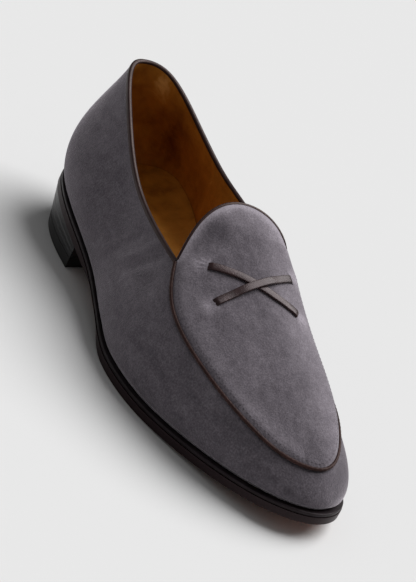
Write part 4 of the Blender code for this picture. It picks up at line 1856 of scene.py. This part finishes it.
@dataclass(frozen=True)
class Edging:
    """The rolled bindings of the collar and the tongue, and the piping of the apron."""

    last: Last
    bench: Bench
    collar_width: float = 1.6 * MM
    tongue_width: float = 0.8 * MM
    inner_width: float = 0.7 * MM
    leather: float = 0.3 * MM
    roll_flat: float = 0.6
    roll_steps: int = 15
    leg_full: float = 0.7
    leg_thin: float = 0.75
    bite: float = 0.05 * MM
    slot_floor: float = 0.2 * MM
    end_clear: float = 0.5 * MM
    edge_step: float = 0.03
    normal_step: float = 0.02
    collar_steps: int = 420
    tongue_steps: int = 220
    tongue_held: tuple[float, float] = (-0.9, -0.01)
    tongue_tip: float = -0.999
    tip_turn: float = 0.7
    piping_radius: float = 0.95 * MM
    piping_lift: float = 0.6 * MM
    piping_clear: float = 1.0 * MM
    piping_points: int = 14
    piping_steps: int = 640
    pucker: float = 0.05
    pucker_pitch: float = 2.6 * MM

    def fold(self, width: float) -> Array:
        """Draw a strip folded over an edge.

        Args:
            width: How far its outer leg reaches.

        Returns:
            Rows of (out, deep) offsets from the wall's outer face.
        """
        wall = self.last.wall
        back = self.inner_width
        radius = wall / 2 + self.leather
        turns = np.linspace(0, np.pi, self.roll_steps)
        out = -wall / 2 - radius * np.cos(turns)
        roll = np.column_stack((out, -self.roll_flat * radius * np.sin(turns)))
        thin = self.leather * self.leg_thin
        outer_leg = np.array(((self.leather, width * self.leg_full), (thin, width)))
        back_leg = np.array(((-wall - thin, back), (-wall - self.leather, back * self.leg_full)))
        face, lining = -self.bite, self.bite - wall
        slot = ((face, width), (face, self.slot_floor), (lining, self.slot_floor), (lining, back))
        return np.vstack((back_leg, roll, outer_leg, np.array(slot)))

    def frames(self, points: Array, inward: Array, outs: Array) -> Bar:
        """Set a section's directions square to a path.

        Args:
            points: The path.
            inward: Rough directions from the edge into the sheet.
            outs: Rough directions out of the sheet.

        Returns:
            The path with its directions.
        """
        ahead = unit(np.gradient(points, axis=0))
        outs = unit(outs - ahead * np.sum(outs * ahead, axis=1, keepdims=True))
        sides = np.cross(outs, ahead)
        sides = sides * np.sign(np.sum(sides * inward, axis=1, keepdims=True))
        return Bar(points, outs, sides)

    def wall_edge(self, distance: Array, lift: float = 0.0) -> Bar:
        """Follow the wall's upper edge.

        Args:
            distance: Distances round the foot line.
            lift: How far the path lies out of the wall.

        Returns:
            The path with its directions.
        """
        height = np.ones_like(distance)
        points = self.last.wall_at(distance, height)
        below = self.last.wall_at(distance, height - self.edge_step)
        outs = normals_of(self.last.wall_at, distance, height - self.normal_step)
        return self.frames(points + outs * lift, below - points, outs)

    def collar(self) -> Bar:
        """Follow the collar's edge from the inner join round the heel to the outer join.

        Returns:
            The path with its directions.
        """
        final, first = self.last.joins
        end = final + self.last.perimeter - self.end_clear
        return self.wall_edge(np.linspace(first + self.end_clear, end, self.collar_steps))

    def seam(self) -> Bar:
        """Follow the apron's seam, where the piping lies.

        Returns:
            The path with its directions.
        """
        first, final = self.last.joins
        start, end = first + self.piping_clear, final - self.piping_clear
        return self.wall_edge(np.linspace(start, end, self.piping_steps), self.piping_lift)

    def tongue(self) -> Bar:
        """Follow the tongue's free edge from join to join.

        Returns:
            The path with its directions.
        """
        apron_at = self.last.apron_at
        tip, end = self.last.tongue_tip, self.last.tongue_knots[-1]
        run = np.linspace(self.end_clear, end - self.end_clear, self.tongue_steps)
        before = run < tip
        side = np.where(before, 0.0, 1.0)
        inside = np.where(before, self.edge_step, 1 - self.edge_step)
        reach = -np.where(before, run / tip, (end - run) / (end - tip))
        held = np.clip(reach, *self.tongue_held)
        beside = apron_at(held, inside) - apron_at(held, side)
        middle = apron_at(np.array((self.tongue_held[0], self.tongue_tip)), np.full(2, 0.5))
        ahead = middle[:1] - middle[1:]
        at_tip = smooth_step((-reach - self.tip_turn) / (1 - self.tip_turn))[:, None]
        inward = unit(beside) * (1 - at_tip) + unit(ahead) * at_tip
        return self.frames(apron_at(reach, side), inward, normals_of(apron_at, held, inside))

    def build(self) -> None:
        """Make both bindings and the piping."""
        collar = self.collar().mesh(self.fold(self.collar_width))
        self.bench.piece("bound_collar", collar, BINDING_CALF, Slot.BINDING, ["collar_binding"])
        tongue = self.tongue().mesh(self.fold(self.tongue_width))
        self.bench.piece("bound_tongue", tongue, BINDING_CALF, Slot.BINDING, ["tongue_binding"])
        seam = self.seam()
        beat = np.cos(2 * np.pi * chord_knots(seam.points) / self.pucker_pitch)
        section = round_section(self.piping_radius, self.piping_points)
        cord = seam.mesh(section, 1 + self.pucker * beat)
        self.bench.piece("piping_cord", cord, PIPING_CALF, Slot.PIPING, ["apron_piping"])


@dataclass(frozen=True)
class Sole:
    """The sock, the welt, the leather outsole and its rubber inset."""

    last: Last
    bench: Bench
    breast: Track
    outsole_cells: Cells = (300, 96)
    outsole_sharp: float = 55
    edge_round: float = 0.6 * MM
    rim_steps: int = 1600
    channel_inset: float = 4.4 * MM
    channel_depth: float = 0.35 * MM
    channel_width: float = 0.5 * MM
    welt_width: float = 11 * MM
    welt_corner: float = 0.55 * MM
    welt_steps: int = 560
    rubber: float = 1.8 * MM
    rubber_cells: Cells = (168, 60)
    rubber_sharp: float = 50
    rubber_round: float = 0.3 * MM
    rubber_top_inset: float = 0.05 * MM
    rubber_tread_inset: float = 0.15 * MM
    pocket_share: float = 0.8
    pocket_slope: float = 1.2 * MM
    oval_steps: int = 900
    oval_fineness: int = 40
    sock_cells: Cells = (160, 40)
    sock_cup: float = 0.8 * MM
    cup_slope: float = 5.0
    arch_climb: float = 0.24
    arch_middle: float = 0.32
    arch_reach: float = 0.19
    arch_curve: float = 2.2
    # Painted shade under the heel, easing into painted light towards the waist
    heel_painted_shade: float = -0.22
    waist_painted_light: float = 0.30
    tone_start: float = 0.12
    tone_end: float = 0.45

    def arch(self, along: Array) -> Array:
        """Work out how the sock's inner edge moves as it climbs the wall at the arch.

        Args:
            along: Shares from the heel to the toe.

        Returns:
            The move at each share.
        """
        distance = self.last.side_knot(Side.INNER, along)
        climb = self.arch_climb * bell((along - self.arch_middle) / self.arch_reach)
        climb = climb * smooth_step(along / self.arch_reach)
        return self.last.wall_at(distance, climb) - self.last.wall_at(distance, np.zeros_like(climb))

    def sock_plan(self, along: Array, across: Array) -> Array:
        """Lay out the insole inside the wall, in plan."""
        inset = -(self.last.wall + self.last.gap)
        return self.last.sole_plan(along, across, level(inset))

    def sock_top(self, along: Array, across: Array) -> Array:
        """Place the sock's face, cupped at its edge and drawn up at the arch.

        Args:
            along: Shares from the heel to the toe.
            across: Shares from the outer side inwards.

        Returns:
            A point for each pair.
        """
        share = spread(across)
        arch = self.arch(along)
        plan = self.sock_plan(along, share) + arch[:, :2] * share[:, None]
        cup = self.sock_cup * (1 - smooth_step(np.minimum(across, 1 - across) * self.cup_slope))
        rise = arch[:, 2] * share**self.arch_curve
        return raised(plan, self.last.upper_foot(plan[:, 0]) + self.last.insole + cup + rise)

    def sock_under(self, along: Array, across: Array) -> Array:
        """Place the insole's underside, by the same shares as the sock's face."""
        plan = self.sock_plan(along, spread(across))
        return raised(plan, self.last.upper_foot(plan[:, 0]))

    def sock_mesh(self) -> Mesh:
        """Make the sock on its insole, with painted shade under the heel and painted light towards the
        waist.

        Returns:
            The closed slab.
        """
        mesh = slab(*self.sock_cells, self.sock_top, self.sock_under)
        along = points_of(mesh)[:, 0] / self.last.length
        # Painted shade at the heel easing into painted light at the waist
        tone = np.interp(along, (self.tone_start, self.tone_end), (self.heel_painted_shade, self.waist_painted_light))
        write_mark(mesh, Mark.TONE, tone)
        return mesh

    def welt_mesh(self) -> Mesh:
        """Make the welt's ring, with a rounded outer edge.

        Returns:
            The closed ring.
        """
        low = self.last.outsole + self.last.gap / 3
        high = low + self.last.welt + self.last.gap / 2
        section = oblong_section(low, high, self.welt_width / 2, self.welt_corner)

        def place(around: Array, turn: Array) -> Array:
            """Find points of the ring.

            Args:
                around: Shares round the shoe.
                turn: Shares round the section.

            Returns:
                A point for each pair.
            """
            i = np.rint(turn * len(section)).astype(int) % len(section)
            distance = around * self.last.perimeter
            inset = self.last.gap + self.welt_width / 2 - section[i, 1]
            outward = self.last.foot_line.outward(distance)
            plan = self.last.sole_edge(distance) - outward * inset[:, None]
            return raised(plan, self.last.sole_lift(plan[:, 0]) + section[i, 0])

        mesh = sheet(self.welt_steps, len(section), place)
        face_outwards(mesh)
        return mesh

    def rim(self) -> Track:
        """Follow the outsole's lower edge in plan.

        Returns:
            The edge as a track.
        """
        distance = np.linspace(0, self.last.perimeter, self.rim_steps)
        along = self.last.foot(distance)[:, 0]
        return flat_track(self.last.foot(distance, self.last.under_margin(along)))

    def outsole_top(self, along: Array, across: Array) -> Array:
        """Place the outsole's upper face, by shares along it and across it."""
        plan = self.last.sole_plan(along, spread(across), self.last.sole_margin)
        return raised(plan, self.last.sole_lift(plan[:, 0]) + self.last.outsole)

    def outsole_under(self, along: Array, across: Array) -> Array:
        """Place the outsole's underside, with its cut channel and its pocket for the rubber.

        Args:
            along: Shares from the heel to the toe.
            across: Shares from the outer side inwards.

        Returns:
            A point for each pair.
        """
        plan = self.last.sole_plan(along, spread(across), self.last.under_margin)
        flat = raised(plan, 0.0)
        from_channel = self.rim().away(flat) - self.channel_inset
        channel = self.channel_depth * bell(from_channel / self.channel_width)
        oval = flat_track(self.rubber_plan(np.linspace(0, 1, self.oval_steps), 0.0))
        slope = smooth_step(oval.away(flat) / self.pocket_slope)
        pocket = self.rubber * self.pocket_share * slope * self.in_rubber(plan)
        return raised(plan, self.last.sole_lift(plan[:, 0]) + channel + pocket)

    def outsole_mesh(self) -> Mesh:
        """Make the outsole, which carries its distances from the edge and the heel's breast.

        Returns:
            The closed slab.
        """
        mesh = slab(*self.outsole_cells, self.outsole_top, self.outsole_under)
        soften(mesh, self.outsole_sharp, self.edge_round)
        points = points_of(mesh)
        flat = raised(points[:, :2], 0.0)
        on_side = points[:, 2] - self.last.sole_lift(points[:, 0]) > self.last.outsole / 2
        write_mark(mesh, Mark.FROM_EDGE, np.where(on_side, 0.0, self.rim().away(flat) / MM))
        write_mark(mesh, Mark.FROM_BREAST, self.breast.away(flat) / MM)
        return mesh

    def rubber_outline(self) -> Spline:
        """Draw the oval of the rubber inset.

        Returns:
            The oval as a closed curve in plan.
        """
        half = self.last.ball_width / 2
        lateral = [(row.along * self.last.length, row.lateral * half) for row in RUBBER_STATIONS]
        medial = [(row.along * self.last.length, row.medial * half) for row in RUBBER_STATIONS]
        outline = np.array(lateral + medial[-2:0:-1] + lateral[:1])
        return Spline(chord_knots(outline), outline, closed=True)

    def rubber_plan(self, around: Array, inset: float) -> Array:
        """Find points round the oval.

        Args:
            around: Shares round it, from its back end along the outer side.
            inset: How far they lie inside it.

        Returns:
            Rows of plan coordinates.
        """
        curve = self.rubber_outline()
        distance = np.interp(around, np.linspace(0, 1, len(curve.knots)), curve.knots)
        return curve(distance) - curve.outward(distance) * inset

    def in_rubber(self, plan: Array) -> Array:
        """Tell which points lie in the oval.

        Args:
            plan: Rows of plan coordinates.

        Returns:
            True for each point inside.
        """
        count = 2 * (len(RUBBER_STATIONS) - 1)
        outline = self.rubber_plan(np.linspace(0, 1, self.oval_fineness * count + 1), 0.0)
        half = len(outline) // 2
        lateral, medial = outline[: half + 1], outline[half:][::-1]
        low = np.interp(plan[:, 0], lateral[:, 0], lateral[:, 1], left=1, right=1)
        high = np.interp(plan[:, 0], medial[:, 0], medial[:, 1], left=-1, right=-1)
        return (plan[:, 1] > low) & (plan[:, 1] < high)

    def rubber_sheet(self, along: Array, across: Array, rise: float, inset: float) -> Array:
        """Place one face of the rubber inset.

        Args:
            along: Shares from its back end to its front end.
            across: Shares from the outer side inwards.
            rise: Height of the face above the sole's underside.
            inset: How far it stays inside the oval.

        Returns:
            A point for each pair.
        """
        lateral = self.rubber_plan(along / 2, inset)
        medial = self.rubber_plan(1 - along / 2, inset)
        plan = lateral + (medial - lateral) * spread(across)[:, None]
        return raised(plan, self.last.sole_lift(plan[:, 0]) + rise)

    def rubber_mesh(self) -> Mesh:
        """Make the rubber inset, flush with the leather round it.

        Returns:
            The closed slab.
        """
        top = partial(self.rubber_sheet, rise=self.rubber, inset=self.rubber_top_inset)
        tread = partial(self.rubber_sheet, rise=0.0, inset=self.rubber_tread_inset)
        mesh = slab(*self.rubber_cells, top, tread)
        soften(mesh, self.rubber_sharp, self.rubber_round)
        return mesh

    def build(self) -> None:
        """Make the sock, the welt, the outsole and the inset."""
        piece = self.bench.piece
        piece("sock", self.sock_mesh(), SOCK_LEATHER, Slot.SOCK, ["insole"])
        piece("welt_ring", self.welt_mesh(), WAXED_WELT, Slot.WELT, ["welt"])
        piece("leather_outsole", self.outsole_mesh(), OUTSOLE_LEATHER, Slot.SOLE, ["outsole"])
        piece("rubber_inset", self.rubber_mesh(), TREAD_RUBBER, Slot.RUBBER, ["forepart_rubber"])


@dataclass(frozen=True)
class Heel:
    """The stacked heel, its top piece and the nails in it."""

    last: Last
    bench: Bench
    lift: float = 6 * MM
    floor_clear: float = 0.1 * MM
    taper: float = 1 * MM
    pitch: float = 8 * MM
    front_share: float = 0.258
    breast_slope: float = 1 * MM
    hollow_top: float = 9 * MM
    hollow_floor: float = 4 * MM
    hollow_power: int = 3
    lifts: int = 3
    lift_rows: int = 8
    groove: float = 0.25 * MM
    groove_width: float = 0.35 * MM
    sharp: float = 50
    edge_round: float = 0.35 * MM
    side_steps: int = 80
    breast_steps: int = 40
    outline_steps: int = 900
    track_steps: int = 400
    search_ribs: int = 4
    search_steps: int = 400
    settle_rounds: int = 4
    least_depth: float = -0.3
    under_reach: float = 0.2 * MM
    nail_radius: float = 0.95 * MM
    nail_rise: float = 0.14 * MM
    nail_level: float = 0.12 * MM
    nail_inset: float = 8 * MM
    nail_shares: tuple[float, ...] = (0.38, 0.66, 0.81, 0.92)
    nail_facets: Cells = (16, 8)

    @property
    def front(self) -> float:
        """Position of the heel's front corners along the last."""
        return self.front_share * self.last.length

    def plan(self, share: Array, across: Array, depth: Array, inset: float = 0.0) -> Array:
        """Find points of the heel's plan.

        Args:
            share: 0 at the back and 1 at the breast.
            across: 0 on the outer side and 1 on the inner side.
            depth: 0 under the sole and 1 on the floor.
            inset: Distance drawn in from the sides.

        Returns:
            Rows of plan coordinates.
        """
        front = self.front - self.breast_slope * depth
        hollow = self.hollow_top + (self.hollow_floor - self.hollow_top) * depth
        outer, inner = (self.flank(share, depth, side, front, inset) for side in Side)
        points = outer + (inner - outer) * across[:, None]
        points[:, 0] -= hollow * share**self.hollow_power * (1 - (2 * across - 1) ** 2)
        return points

    def flank(self, share: Array, depth: Array, side: Side, front: Array, inset: float) -> Array:
        """Find points of one side.

        Args:
            share: 0 at the back and 1 at the front corner.
            depth: 0 under the sole and 1 on the floor.
            side: Which side.
            front: Position of the front corner along the last.
            inset: Distance drawn in from the side.

        Returns:
            Rows of plan coordinates.
        """
        first = side.value
        toward = 1 if side is Side.OUTER else -1
        ribs = first + toward * np.linspace(0, self.search_ribs, self.search_steps)
        along = self.last.foot(self.last.knot(ribs))[:, 0]
        limit = np.interp(front, along, ribs)
        distance = self.last.knot(first + (limit - first) * share)
        margin = self.last.sole_margin(self.last.foot(distance)[:, 0])
        points = self.last.foot(distance, margin - self.taper * depth - inset)
        points[:, 0] += self.pitch * depth * (1 - points[:, 0] / front)
        return points

    def breast(self) -> Track:
        """Follow the heel's concave front where it meets the sole, in plan."""
        across = np.linspace(0, 1, self.track_steps)
        return flat_track(self.plan(np.ones_like(across), across, np.zeros_like(across)))

    def outline(self, around: Array) -> tuple[Array, Array]:
        """Go round the heel's edge: along the outer side, over the breast and home.

        Args:
            around: Shares of the way round.

        Returns:
            Shares from the back to the breast, and from the outer side to the inner side.
        """
        side = self.side_steps / (2 * self.side_steps + self.breast_steps)
        share = np.minimum(np.clip(around / side, 0, 1), np.clip((1 - around) / side, 0, 1))
        return share, np.clip((around - side) / (1 - 2 * side), 0, 1)

    def settle(self, share: Array, across: Array, height: Profile) -> Array:
        """Find points at a height that depends on how far along the last they are.

        Args:
            share: 0 at the back and 1 at the breast.
            across: 0 on the outer side and 1 on the inner side.
            height: Turns a position along the last into a height.

        Returns:
            A point for each pair.
        """
        depth = np.full_like(share, 0.5)
        for _ in range(self.settle_rounds):
            plan = self.plan(share, across, depth)
            heights = height(plan[:, 0])
            depth = np.clip(1 - heights / self.last.heel_lift, self.least_depth, 1)
        return raised(plan, heights)

    def block(self, low: Profile, high: Profile, layers: int) -> Mesh:
        """Make a closed block between two heights, with a groove between its layers.

        Args:
            low: Height of its underside along the last.
            high: Height of its top there.
            layers: Number of lifts that show.

        Returns:
            The block.
        """

        def edge(around: Array, up: Array) -> Array:
            """Find points of the block's sides.

            Args:
                around: Shares of the way round the heel.
                up: Shares of the block's height.

            Returns:
                A point for each pair.
            """
            share, across = self.outline(around)
            points = self.settle(share, across, lambda along: low(along) + (high(along) - low(along)) * up)
            tall = high(points[:, 0]) - low(points[:, 0])
            to_joint = np.abs((up * layers + 0.5) % 1 - 0.5) / layers * tall
            between = (up > 0.5 / layers) & (up < 1 - 0.5 / layers)
            cut = self.groove * bell(to_joint / self.groove_width) * between
            away = unit(points[:, :2] - np.array((self.front / 2, 0)))
            points[:, :2] -= away * cut[:, None]
            return points

        mesh = bmesh.new()
        drape(mesh, 2 * self.side_steps + self.breast_steps, self.lift_rows * layers, edge)
        for height in (low, high):
            drape(mesh, self.side_steps, self.breast_steps, partial(self.settle, height=height))
        weld(mesh)
        face_outwards(mesh)
        soften(mesh, self.sharp, self.edge_round)
        return mesh

    def mark_rim(self, mesh: Mesh, low: Profile) -> None:
        """Write how far the underside's vertices are from its rim, and 0 for the rest.

        Args:
            mesh: The block.
            low: Height of its underside along the last.
        """
        share, across = self.outline(np.linspace(0, 1, self.outline_steps))
        rim = Track(self.settle(share, across, low))
        points = points_of(mesh)
        under = points[:, 2] < low(points[:, 0]) + self.under_reach
        write_mark(mesh, Mark.FROM_EDGE, np.where(under, rim.away(points) / MM, 0.0))

    def nails(self) -> Mesh:
        """Make brass nail heads round the top piece.

        Returns:
            The heads as one mesh.
        """
        mesh = bmesh.new()
        size = (self.nail_radius, self.nail_radius, self.nail_rise)
        share, across = np.array([(spot, side) for side in (0.0, 1.0) for spot in self.nail_shares]).T
        for point in self.plan(share, across, np.ones_like(share), self.nail_inset):
            add_bead(mesh, Matrix.Translation((*point, self.nail_level)), size, self.nail_facets)
        return mesh

    def build(self) -> None:
        """Make the stack, the top piece and the nails."""
        gap = self.last.gap
        body = self.block(
            level(self.lift + gap), lambda along: self.last.sole_lift(along) - gap / 3, self.lifts
        )
        self.bench.piece("stacked_heel", body, WAXED_HEEL, Slot.HEEL, ["heel_stack"])
        tread = level(self.floor_clear)
        top_piece = self.block(tread, level(self.lift), 1)
        self.mark_rim(top_piece, tread)
        self.bench.piece("heel_top_piece", top_piece, LIFT_LEATHER, Slot.LIFT, ["top_lift"])
        self.bench.piece("heel_nails", self.nails(), NAIL_BRASS, Slot.LIFT)


@dataclass(frozen=True)
class Studio:
    """The floor, the soft lights and the camera."""

    azimuth: float = 52.0
    elevation: float = 26.3
    roll: float = 27.4
    distance: float = 1.673
    aim: tuple[float, float, float] = (0.001, 0.001, 0.042)
    lens_mm: float = 204.0
    clip: tuple[float, float] = (0.05, 50.0)
    floor_half: float = 6.0
    floor_level: float = -0.1 * MM
    floor_tone: float = 0.70
    floor_roughness: float = 0.9
    floor_shine: float = 0.1
    room: float = 0.20
    sun: float = 3.72
    sun_degrees: float = 50.0
    sun_travel: tuple[float, float, float] = (0.10, -0.58, -0.80)

    def floor(self) -> None:
        """Lay a plain pale floor under the shoe."""
        mesh = bmesh.new()
        bmesh.ops.create_grid(mesh, x_segments=2, y_segments=2, size=self.floor_half)
        bmesh.ops.translate(mesh, vec=(0, 0, self.floor_level), verts=mesh.verts)
        data = bpy.data.meshes.new("floor")
        mesh.to_mesh(data)
        mesh.free()
        shading = Shading("pale_floor", self.floor_roughness)
        shading.set(Base_Color=(*[self.floor_tone] * 3, 1), Specular_IOR_Level=self.floor_shine)
        data.materials.append(shading.material)
        floor = bpy.data.objects.new("floor", data)
        bpy.context.scene.collection.objects.link(floor)

    def lights(self) -> None:
        """Light the shoe softly from above, with a pale room round it."""
        world = bpy.data.worlds.new("room")
        world.use_nodes = True
        background = world.node_tree.nodes["Background"]
        Shading.fill(background, {"Color": (1.0, 1.0, 1.0, 1), "Strength": self.room})
        bpy.context.scene.world = world
        sun = bpy.data.lights.new("overhead", "SUN")
        sun.energy = self.sun
        sun.angle = math.radians(self.sun_degrees)
        lamp = bpy.data.objects.new("overhead", sun)
        lamp.rotation_euler = Vector(self.sun_travel).to_track_quat("-Z", "Y").to_euler()
        bpy.context.scene.collection.objects.link(lamp)

    def camera(self) -> None:
        """Set the camera at the photograph's angle to the shoe."""
        azimuth = math.radians(self.azimuth)
        elevation = math.radians(self.elevation)
        flat = math.cos(elevation)
        back = Vector((math.sin(azimuth) * flat, -math.cos(azimuth) * flat, math.sin(elevation)))
        data = bpy.data.cameras.new("camera")
        data.lens = self.lens_mm
        data.clip_start, data.clip_end = self.clip
        camera = bpy.data.objects.new("camera", data)
        roll = Matrix.Rotation(math.radians(self.roll), 3, "Z")
        turn = (-back).to_track_quat("-Z", "Y").to_matrix() @ roll
        camera.matrix_world = Matrix.Translation(Vector(self.aim) + back * self.distance) @ turn.to_4x4()
        bpy.context.scene.collection.objects.link(camera)
        bpy.context.scene.camera = camera

    def build(self) -> None:
        """Set up the floor, the lights and the camera."""
        bpy.context.scene.view_settings.view_transform = "Standard"
        self.floor()
        self.lights()
        self.camera()


def main() -> None:
    """Dress the shoe and set it in the studio."""
    logging.basicConfig(level=logging.INFO)
    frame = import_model()
    LOG.info("%d packed solids", len(frame["nodes"]))
    last = Last()
    outline = last.sole_edge(np.linspace(0, last.perimeter, OUTLINE_STEPS))
    low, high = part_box("outsole")
    middle = (outline.min(axis=0) + outline.max(axis=0)) / 2
    bench = Bench(Vector(((low.x + high.x) / 2 - middle[0], (low.y + high.y) / 2 - middle[1], 0)))

    strips = CrossStrips(last, bench)
    heel = Heel(last, bench)
    Upper(last, bench, strips.slits()).build()
    Edging(last, bench).build()
    strips.build()
    Sole(last, bench, heel.breast()).build()
    heel.build()
    Studio().build()


if __name__ == "__main__":
    main()
